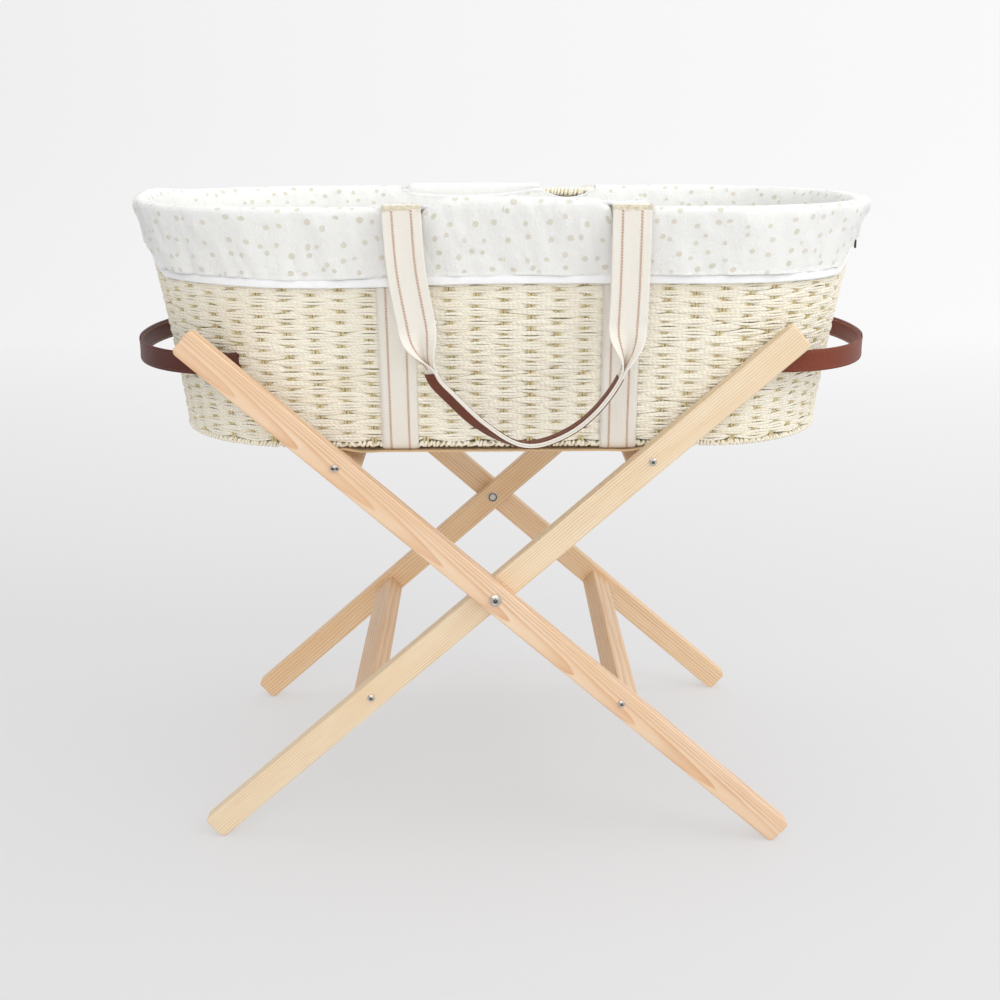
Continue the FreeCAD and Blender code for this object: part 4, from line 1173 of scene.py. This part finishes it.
def carry_handle(place, side):
    """Webbing straps that fold lengthwise into a leather grip; side is -1 in front."""
    count, points, body = 260, 48, f"carry_handle_{place}"
    centre, run, folded, wide, opening = handle_line(side, count)
    x, z = centre[:, 0], centre[:, 2]
    fold = folded * 0.985 + 0.03 * smooth((0.724 - z) / 0.05)
    sx, sy, nx, ny = fold_section(fold, WEBBING_WIDTH - 2.0 * MM * folded, points)

    def shell(name, inside, outside, first, last, pick):
        """A layer of the folded section, between two distances from its middle line."""
        part = slice(first, last)
        q = np.linspace(-1, 1, points)[part]
        fat = np.minimum(1, (1 - np.abs(np.linspace(-1, 1, last - first))) * 9 + 0.5)
        half, base = (outside - inside) / 2 * fat, (outside + inside) / 2
        faces = []
        for off in (base - half, base + half):
            a, b = sx[:, part] - nx[:, part] * off, sy[:, part] - ny[:, part] * off
            faces.append(centre[:, None] + a[..., None] * wide[:, None] + b[..., None] * opening[:, None])
        rings = np.concatenate([faces[0], faces[1][:, ::-1]], 1)[pick]
        if side > 0:
            rings = rings[:, ::-1]
        v = np.concatenate([q, q[::-1], q[:1]]) * WEBBING_WIDTH / 2
        return skin(name, rings[None], False, (run[pick][None], v))

    thick = (0.75 + 0.38 * folded)[:, None] * MM
    thing = shell(f"carry_webbing_{place}", -thick, thick, 0, points, np.arange(count))
    finish_piece(thing, WEB, body,
                 [f"carry_strap_{place}_left", f"carry_strap_{place}_right", f"carry_grip_{place}"])
    cover = np.arange(int(np.argmax(z < GRIP_TOP_LEFT)), count - int(np.argmax(z[::-1] < GRIP_TOP_RIGHT)))
    thing = shell(f"carry_grip_leather_{place}", thick + 0.03 * MM, thick + 1.15 * MM, 2, points - 2, cover)
    finish_piece(thing, GRIP, body)

    for number, share in enumerate(SEAMS):
        column = int(round((share + 0.5) * (points - 1)))
        for part, keep in (("left", (x < 0) & (z > SEAM_LOW)), ("right", (x > 0) & (z > SEAM_LOW))):
            w, o = wide[keep], opening[keep]
            face = unit(nx[keep, column, None] * w + ny[keep, column, None] * o)
            middle = centre[keep] + sx[keep, column, None] * w + sy[keep, column, None] * o
            for back, sign in (("", 1), ("_back", -1)):
                seam(f"carry_{place}_{part}_stitches_{number + 1}{back}", middle + sign * face * thick[keep],
                     sign * face, body)

    for part, at in (("left", 0), ("right", -1)):
        rim_roll(f"carry_{place}", part, [x[at], side * HINGE_Y, z[at]], side, body, 31 + at)


def rim_roll(name, part, middle, side, body, seed):
    """The strap's end rolled up and sewn at the rim, with frayed cotton on it."""
    half, tufts = WEBBING_WIDTH / 2, 170
    middle = np.array(middle)
    along = np.linspace(0, 1, 22)
    path = middle + (2 * along - 1)[:, None] * half * np.array([1, 0, 0])
    radius = (3.7 if side < 0 else 2.6) * MM * np.minimum(1, (0.5 - np.abs(along - 0.5)) * 14 + 0.82)
    thing = strands(f"{name}_roll_{part}", path[None], [0, 0, 1], radius[None], sides=16)
    finish_piece(thing, FOLD, body)
    chance = np.random.default_rng(seed)
    root = middle + np.stack([chance.uniform(-20, 20, tufts) * MM, np.zeros(tufts), np.zeros(tufts)], 1)
    around = chance.uniform(-0.2, 1.9, tufts)
    away = np.stack([chance.normal(0, 0.25, tufts), side * np.sin(around), np.cos(around)], 1)
    t = np.linspace(0, 1, 4)[None, :, None]
    reach = radius.max() - 0.3 * MM + t * chance.uniform(0.6, 1.7, tufts)[:, None, None] * MM
    curl = chance.normal(0, 0.5, (tufts, 1, 3)) * MM * t ** 2
    thing = strands(f"{name}_fuzz_{part}", root[:, None] + away[:, None] * reach + curl, [1, 0, 0], 0.2 * MM,
                    sides=4)
    finish_piece(thing, FOLD, body)


carry_handle("front", -1)
carry_handle("rear", 1)


def strap_roots():
    """The straps' inner ends, which cross the rim under the liner."""
    inner_y, t = 0.196, np.linspace(0, 1, 16)
    for place, side, lift in (("front", -1, 0.4 * MM), ("rear", 1, -4.4 * MM)):
        low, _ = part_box(f"strap_roots_{place}")
        y = side * (inner_y + (HINGE_Y - 4.6 * MM - inner_y) * t)
        z = low.z + lift + 1.2 * MM * np.sin(t * math.pi) ** 0.7 - 3 * MM * (1 - smooth(t * 3))
        for part, middle, replaces in (("left", HANDLE_LINE[0][0], [f"strap_roots_{place}"]),
                                       ("right", HANDLE_LINE[-1][0], [])):
            path = np.column_stack([np.full(len(t), middle * MM), y, z])
            thing = band(f"strap_root_{place}_{part}", path, [1, 0, 0], WEBBING_WIDTH, 1.6 * MM)
            finish_piece(thing, WEB, "basket", replaces)


strap_roots()


# ------------------------------------------------------------------ leather end handles

END_THICK = 3.5 * MM
END_SQUARE = 0.92               # below 1, the loop is a little squarer than an ellipse


def end_handle(place, sign, look):
    """A loop of two leather layers, sewn along both edges; sign is -1 at the left end."""
    low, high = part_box(f"end_handle_{place}")
    root, reach = sorted((abs(low.x), abs(high.x)))
    tall, body = high.z - low.z, f"end_handle_{place}"
    length, half = reach - root - END_THICK / 2, high.y - END_THICK / 2
    a = np.linspace(0, math.pi, 115)
    c, d = np.cos(a), np.sin(a)
    path = np.column_stack([(root + length * np.abs(d) ** END_SQUARE) * sign,
                            -half * np.sign(c) * np.abs(c) ** END_SQUARE,
                            np.full(len(a), (low.z + high.z) / 2)])
    across = np.array([0, 0, sign])
    face = np.cross(across, unit(np.gradient(path, axis=0)))
    for layer, off, replaces in (("outer", 0.85 * MM, [body]), ("inner", -0.85 * MM, [])):
        thing = band(f"{body}_{layer}", path + face * off, across, tall - 0.6 * MM, 1.75 * MM, count=14,
                     edge=0.16, cup=-0.5 * MM)
        finish_piece(thing, look, body, replaces)
    clear = np.abs(path[:, 0]) > root + 13 * MM        # beside the tabs, which the stitches would cut
    for number, up in enumerate((-1, 1)):
        for back, out in (("", 1), ("_back", -1)):
            line = path + np.array([0, 0, up * (tall / 2 - 3 * MM)]) + face * out * 1.66 * MM
            thing = stitches(f"{body}_stitches_{number + 1}{back}", line[clear], (face * out)[clear],
                             3.4 * MM, 1.4 * MM, 0.7 * MM, 0.1 * MM)
            finish_piece(thing, PALE_THREAD, body)


def handle_tabs(place, sign, look, replaces):
    """The ends of one handle, which turn in and pass through the weave."""
    low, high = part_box(f"end_handle_{place}")
    root, y = min(abs(low.x), abs(high.x)), high.y - END_THICK / 2
    line, _ = spline([(root + 2 * MM, y), (root - 3 * MM, y - 0.6 * MM), (root - 8 * MM, y - 4 * MM),
                      (root - 11 * MM, y - 10 * MM)], 18)
    for end, side in (("front", -1), ("rear", 1)):
        level = np.full(len(line), (low.z + high.z) / 2)
        path = np.column_stack([line[:, 0] * sign, line[:, 1] * side, level])
        thing = band(f"end_handle_{place}_end_{end}", path, [0, 0, 1], high.z - low.z - 0.8 * MM, 3.3 * MM,
                     count=14, edge=0.16)
        finish_piece(thing, look, "basket", replaces if side < 0 else [])


end_handle("left", -1, END_LEFT_SHADED)
end_handle("right", 1, END_RIGHT_LIT)
handle_tabs("left", -1, END_LEFT_SHADED, ["end_handle_tabs"])
handle_tabs("right", 1, END_RIGHT_LIT, [])


# ------------------------------------------------------------------ safety straps under the basket

def safety_strap(place):
    """One webbing strap from leg to leg under the basket; its ends turn down over the top rails."""
    low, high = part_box(f"safety_strap_{place}")
    middle, width = (low.y + high.y) / 2, high.y - low.y
    pivot, top = (low.x + high.x) / 2, high.z - 0.75 * MM
    reach = high.x - pivot
    foot = low.z - top
    # how far in from the strap's end, and how far above its top face
    turn = [(0.8 * MM, foot + 1 * MM), (6 * MM, foot + 8 * MM), (12.5 * MM, -3.5 * MM), (19 * MM, 0),
            (25 * MM, -0.2 * MM), (34 * MM, -2.0 * MM), (70 * MM, -2.2 * MM), (120 * MM, -2.3 * MM)]
    points = [(pivot - reach + inset, top + up) for inset, up in turn]
    points += [(pivot, top - 2.3 * MM)]
    points += [(pivot + reach - inset, top + up) for inset, up in turn[::-1]]
    line, _ = spline(points, 150)
    path = np.column_stack([line[:, 0], np.full(len(line), middle), line[:, 1]])
    thing = band(f"safety_webbing_{place}", path, [0, -1, 0], width, 1.3 * MM)
    thing.data.materials.append(TAN)
    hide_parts(f"safety_strap_{place}")
    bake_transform(thing)


safety_strap("front")
safety_strap("rear")


# ------------------------------------------------------------------ stand: CAD nodes with better materials

STAND_LOOKS = {
    "outer_leg_front": PINE_A, "outer_leg_rear": PINE_A2,
    "inner_leg_front": PINE_B, "inner_leg_rear": PINE_B2,
    "outer_top_rail": PINE_RAIL, "outer_bottom_rail": PINE_RAIL, "inner_top_rail": PINE_RAIL,
    "inner_bottom_rail": PINE_RAIL, "inner_frame_dowels": DOWEL, "outer_frame_dowels": DOWEL,
    "inner_frame_screws": NICKEL, "outer_frame_screws": NICKEL, "pivot_bolt_front": NICKEL,
    "pivot_bolt_rear": NICKEL, "pivot_cap_front": NICKEL, "pivot_cap_rear": NICKEL, "pivot_washers": NICKEL,
}
for node, look in STAND_LOOKS.items():
    thing = frame["nodes"][node]
    thing.data.materials.clear()
    thing.data.materials.append(look)


def heads(node):
    """Each screw head of a node, or each cap: its middle, which side it is on, its depths and its radius."""
    points = points_of(frame["nodes"][node].data).astype(float)
    groups = np.column_stack([np.round(points[:, 0] / 0.04), np.sign(points[:, 1])])
    for group in np.unique(groups, axis=0):
        part = points[(groups == group).all(1)]
        depth = np.abs(part[:, 1])
        yield (part.min(0) + part.max(0)) / 2, group[1], depth.min(), depth.max(), np.ptp(part[:, 2]) / 2


def screw_sockets(node, body, facing):
    """A raised ring, and on heads that face outward a dark hexagon that paints the shade inside the hex
    socket; facing is -1 on the caps, whose ring takes the same dark painted-shade look.
    """
    spots, radii = [], []
    for middle, side, near, far, radius in heads(node):
        spots.append([middle[0], side * (far if facing > 0 else near), middle[2]])
        radii.append(radius)
    spots, radii = np.array(spots), np.array(radii)
    out = facing * np.sign(spots[:, 1:2]) * np.array([[0, 1, 0]])
    if facing > 0:
        depths = np.array([-0.9, -0.1, 0.12]) * MM
        path = spots[:, None] + out[:, None] * depths[None, :, None]
        radius = np.broadcast_to(radii[:, None] * 0.40, path.shape[:2])
        finish_piece(strands(f"{node}_sockets", path, [0, 0, 1], radius, sides=6), SOCKET_SHADE, body)
    angle = np.arange(28) / 28 * 2 * math.pi
    ring = np.stack([np.cos(angle), 0 * angle, np.sin(angle)], 1)
    ring_size = 0.56 if facing > 0 else 0.78
    path = spots[:, None] - out[:, None] * 0.15 * MM + ring[None] * radii[:, None, None] * ring_size
    thing = strands(f"{node}_rings", path, np.broadcast_to(ring[None], path.shape),
                    np.broadcast_to(radii[:, None] * 0.13, path.shape[:2]), closed=True, sides=8)
    finish_piece(thing, NICKEL if facing > 0 else SOCKET_SHADE, body)


for node, body, facing in (("outer_frame_screws", "outer_frame", 1), ("inner_frame_screws", "inner_frame", 1),
                           ("pivot_bolt_front", "inner_frame", 1), ("pivot_bolt_rear", "inner_frame", 1),
                           ("pivot_cap_front", "inner_frame", -1), ("pivot_cap_rear", "inner_frame", -1)):
    screw_sockets(node, body, facing)


# ------------------------------------------------------------------ camera, floor and light

def place_camera():
    """The camera at the photograph's viewpoint, with its downward, sideways and rolling angles."""
    camera = bpy.data.objects.new("camera", bpy.data.cameras.new("camera"))
    bpy.context.scene.collection.objects.link(camera)
    camera.data.lens, camera.data.sensor_width = 46.48, 36
    camera.data.clip_end = 30
    down, aside, roll = (math.radians(a) for a in (16.68, 0.68, -0.12))
    camera.matrix_world = (Matrix.Rotation(-aside, 4, "Z") @ Matrix.Rotation(math.pi / 2 - down, 4, "X")
                           @ Matrix.Rotation(roll, 4, "Z"))
    camera.location = (-0.0205, -1.5511, 0.8178)
    bpy.context.scene.camera = camera


def studio_floor():
    """A pale floor that curves up into a wall behind and glows a little more with distance and height."""
    arc, back, columns = 0.75, 3.2, 9
    a = np.linspace(0, math.pi / 2, 28)[1:]
    rows = [(-6.0, 0.0), (-2.5, 0.0), (0.5, 0.0), (back, 0.0)]
    rows += list(zip(back + arc * np.sin(a), arc - arc * np.cos(a))) + [(back + arc, 5.5)]
    grid = np.array([[(x, y, z) for x in np.linspace(-6, 6, columns)] for y, z in rows])
    i, j = np.meshgrid(np.arange(len(rows) - 1), np.arange(columns - 1), indexing="ij")
    first = i * columns + j
    quads = np.stack([first, first + 1, first + columns + 1, first + columns], -1).reshape(-1, 4)
    floor = mesh_object("studio_sweep", grid.reshape(-1, 3), quads)
    look = Look("studio_sweep_look", 0.9)
    look.colour(rgb(142, 141, 142))
    across, depth, up = look.node("SeparateXYZ", Vector=look.here()).outputs
    far = look.scaled(up, 1.5, depth)
    glow = look.node("MapRange", Value=far, i1=0.5, i2=3.4, i3=0.448, i4=0.63).outputs[0]
    look.tree.links.new(look.scaled(across, 0.018, glow), look.shader.inputs["Emission Strength"])
    floor.data.materials.append(look.material)


def studio_world():
    """White light from all round, weaker from the left."""
    world = bpy.data.worlds.new("studio")
    bpy.context.scene.world = world
    world.use_nodes = True
    tree = world.node_tree
    ground = tree.nodes["Background"]
    ground.inputs[0].default_value = (0.98, 0.99, 1.0, 1)
    way = tree.nodes.new("ShaderNodeSeparateXYZ")
    tree.links.new(tree.nodes.new("ShaderNodeTexCoord").outputs["Generated"], way.inputs[0])
    fall = tree.nodes.new("ShaderNodeMapRange")
    for name, value in (("From Min", -0.95), ("From Max", -0.25), ("To Min", 0.42), ("To Max", 0.95)):
        fall.inputs[name].default_value = value
    tree.links.new(way.outputs["X"], fall.inputs["Value"])
    tree.links.new(fall.outputs[0], ground.inputs[1])


def area_light(name, place, target, size, power, colour):
    light = bpy.data.lights.new(name, "AREA")
    light.shape, light.size, light.size_y = "RECTANGLE", size[0], size[1]
    light.energy, light.color = power, colour
    thing = bpy.data.objects.new(name, light)
    thing.location = place
    thing.rotation_euler = (Vector(target) - Vector(place)).to_track_quat("-Z", "Y").to_euler()
    bpy.context.scene.collection.objects.link(thing)


place_camera()
studio_floor()
studio_world()
area_light("front_fill", (-0.3, -3.2, 1.7), (0, 0, 0.55), (2.6, 1.8), 24, (1.0, 0.99, 0.98))
area_light("key", (2.0, -1.3, 2.5), (0, 0, 0.5), (1.6, 1.6), 21, (1.0, 0.99, 0.975))
area_light("backdrop", (0.0, 0.2, 3.6), (0, 1.6, 0.9), (3.6, 1.2), 29, (0.97, 0.98, 1.0))
bpy.context.scene.view_settings.view_transform = "Standard"
bpy.context.scene.view_settings.look = "None"
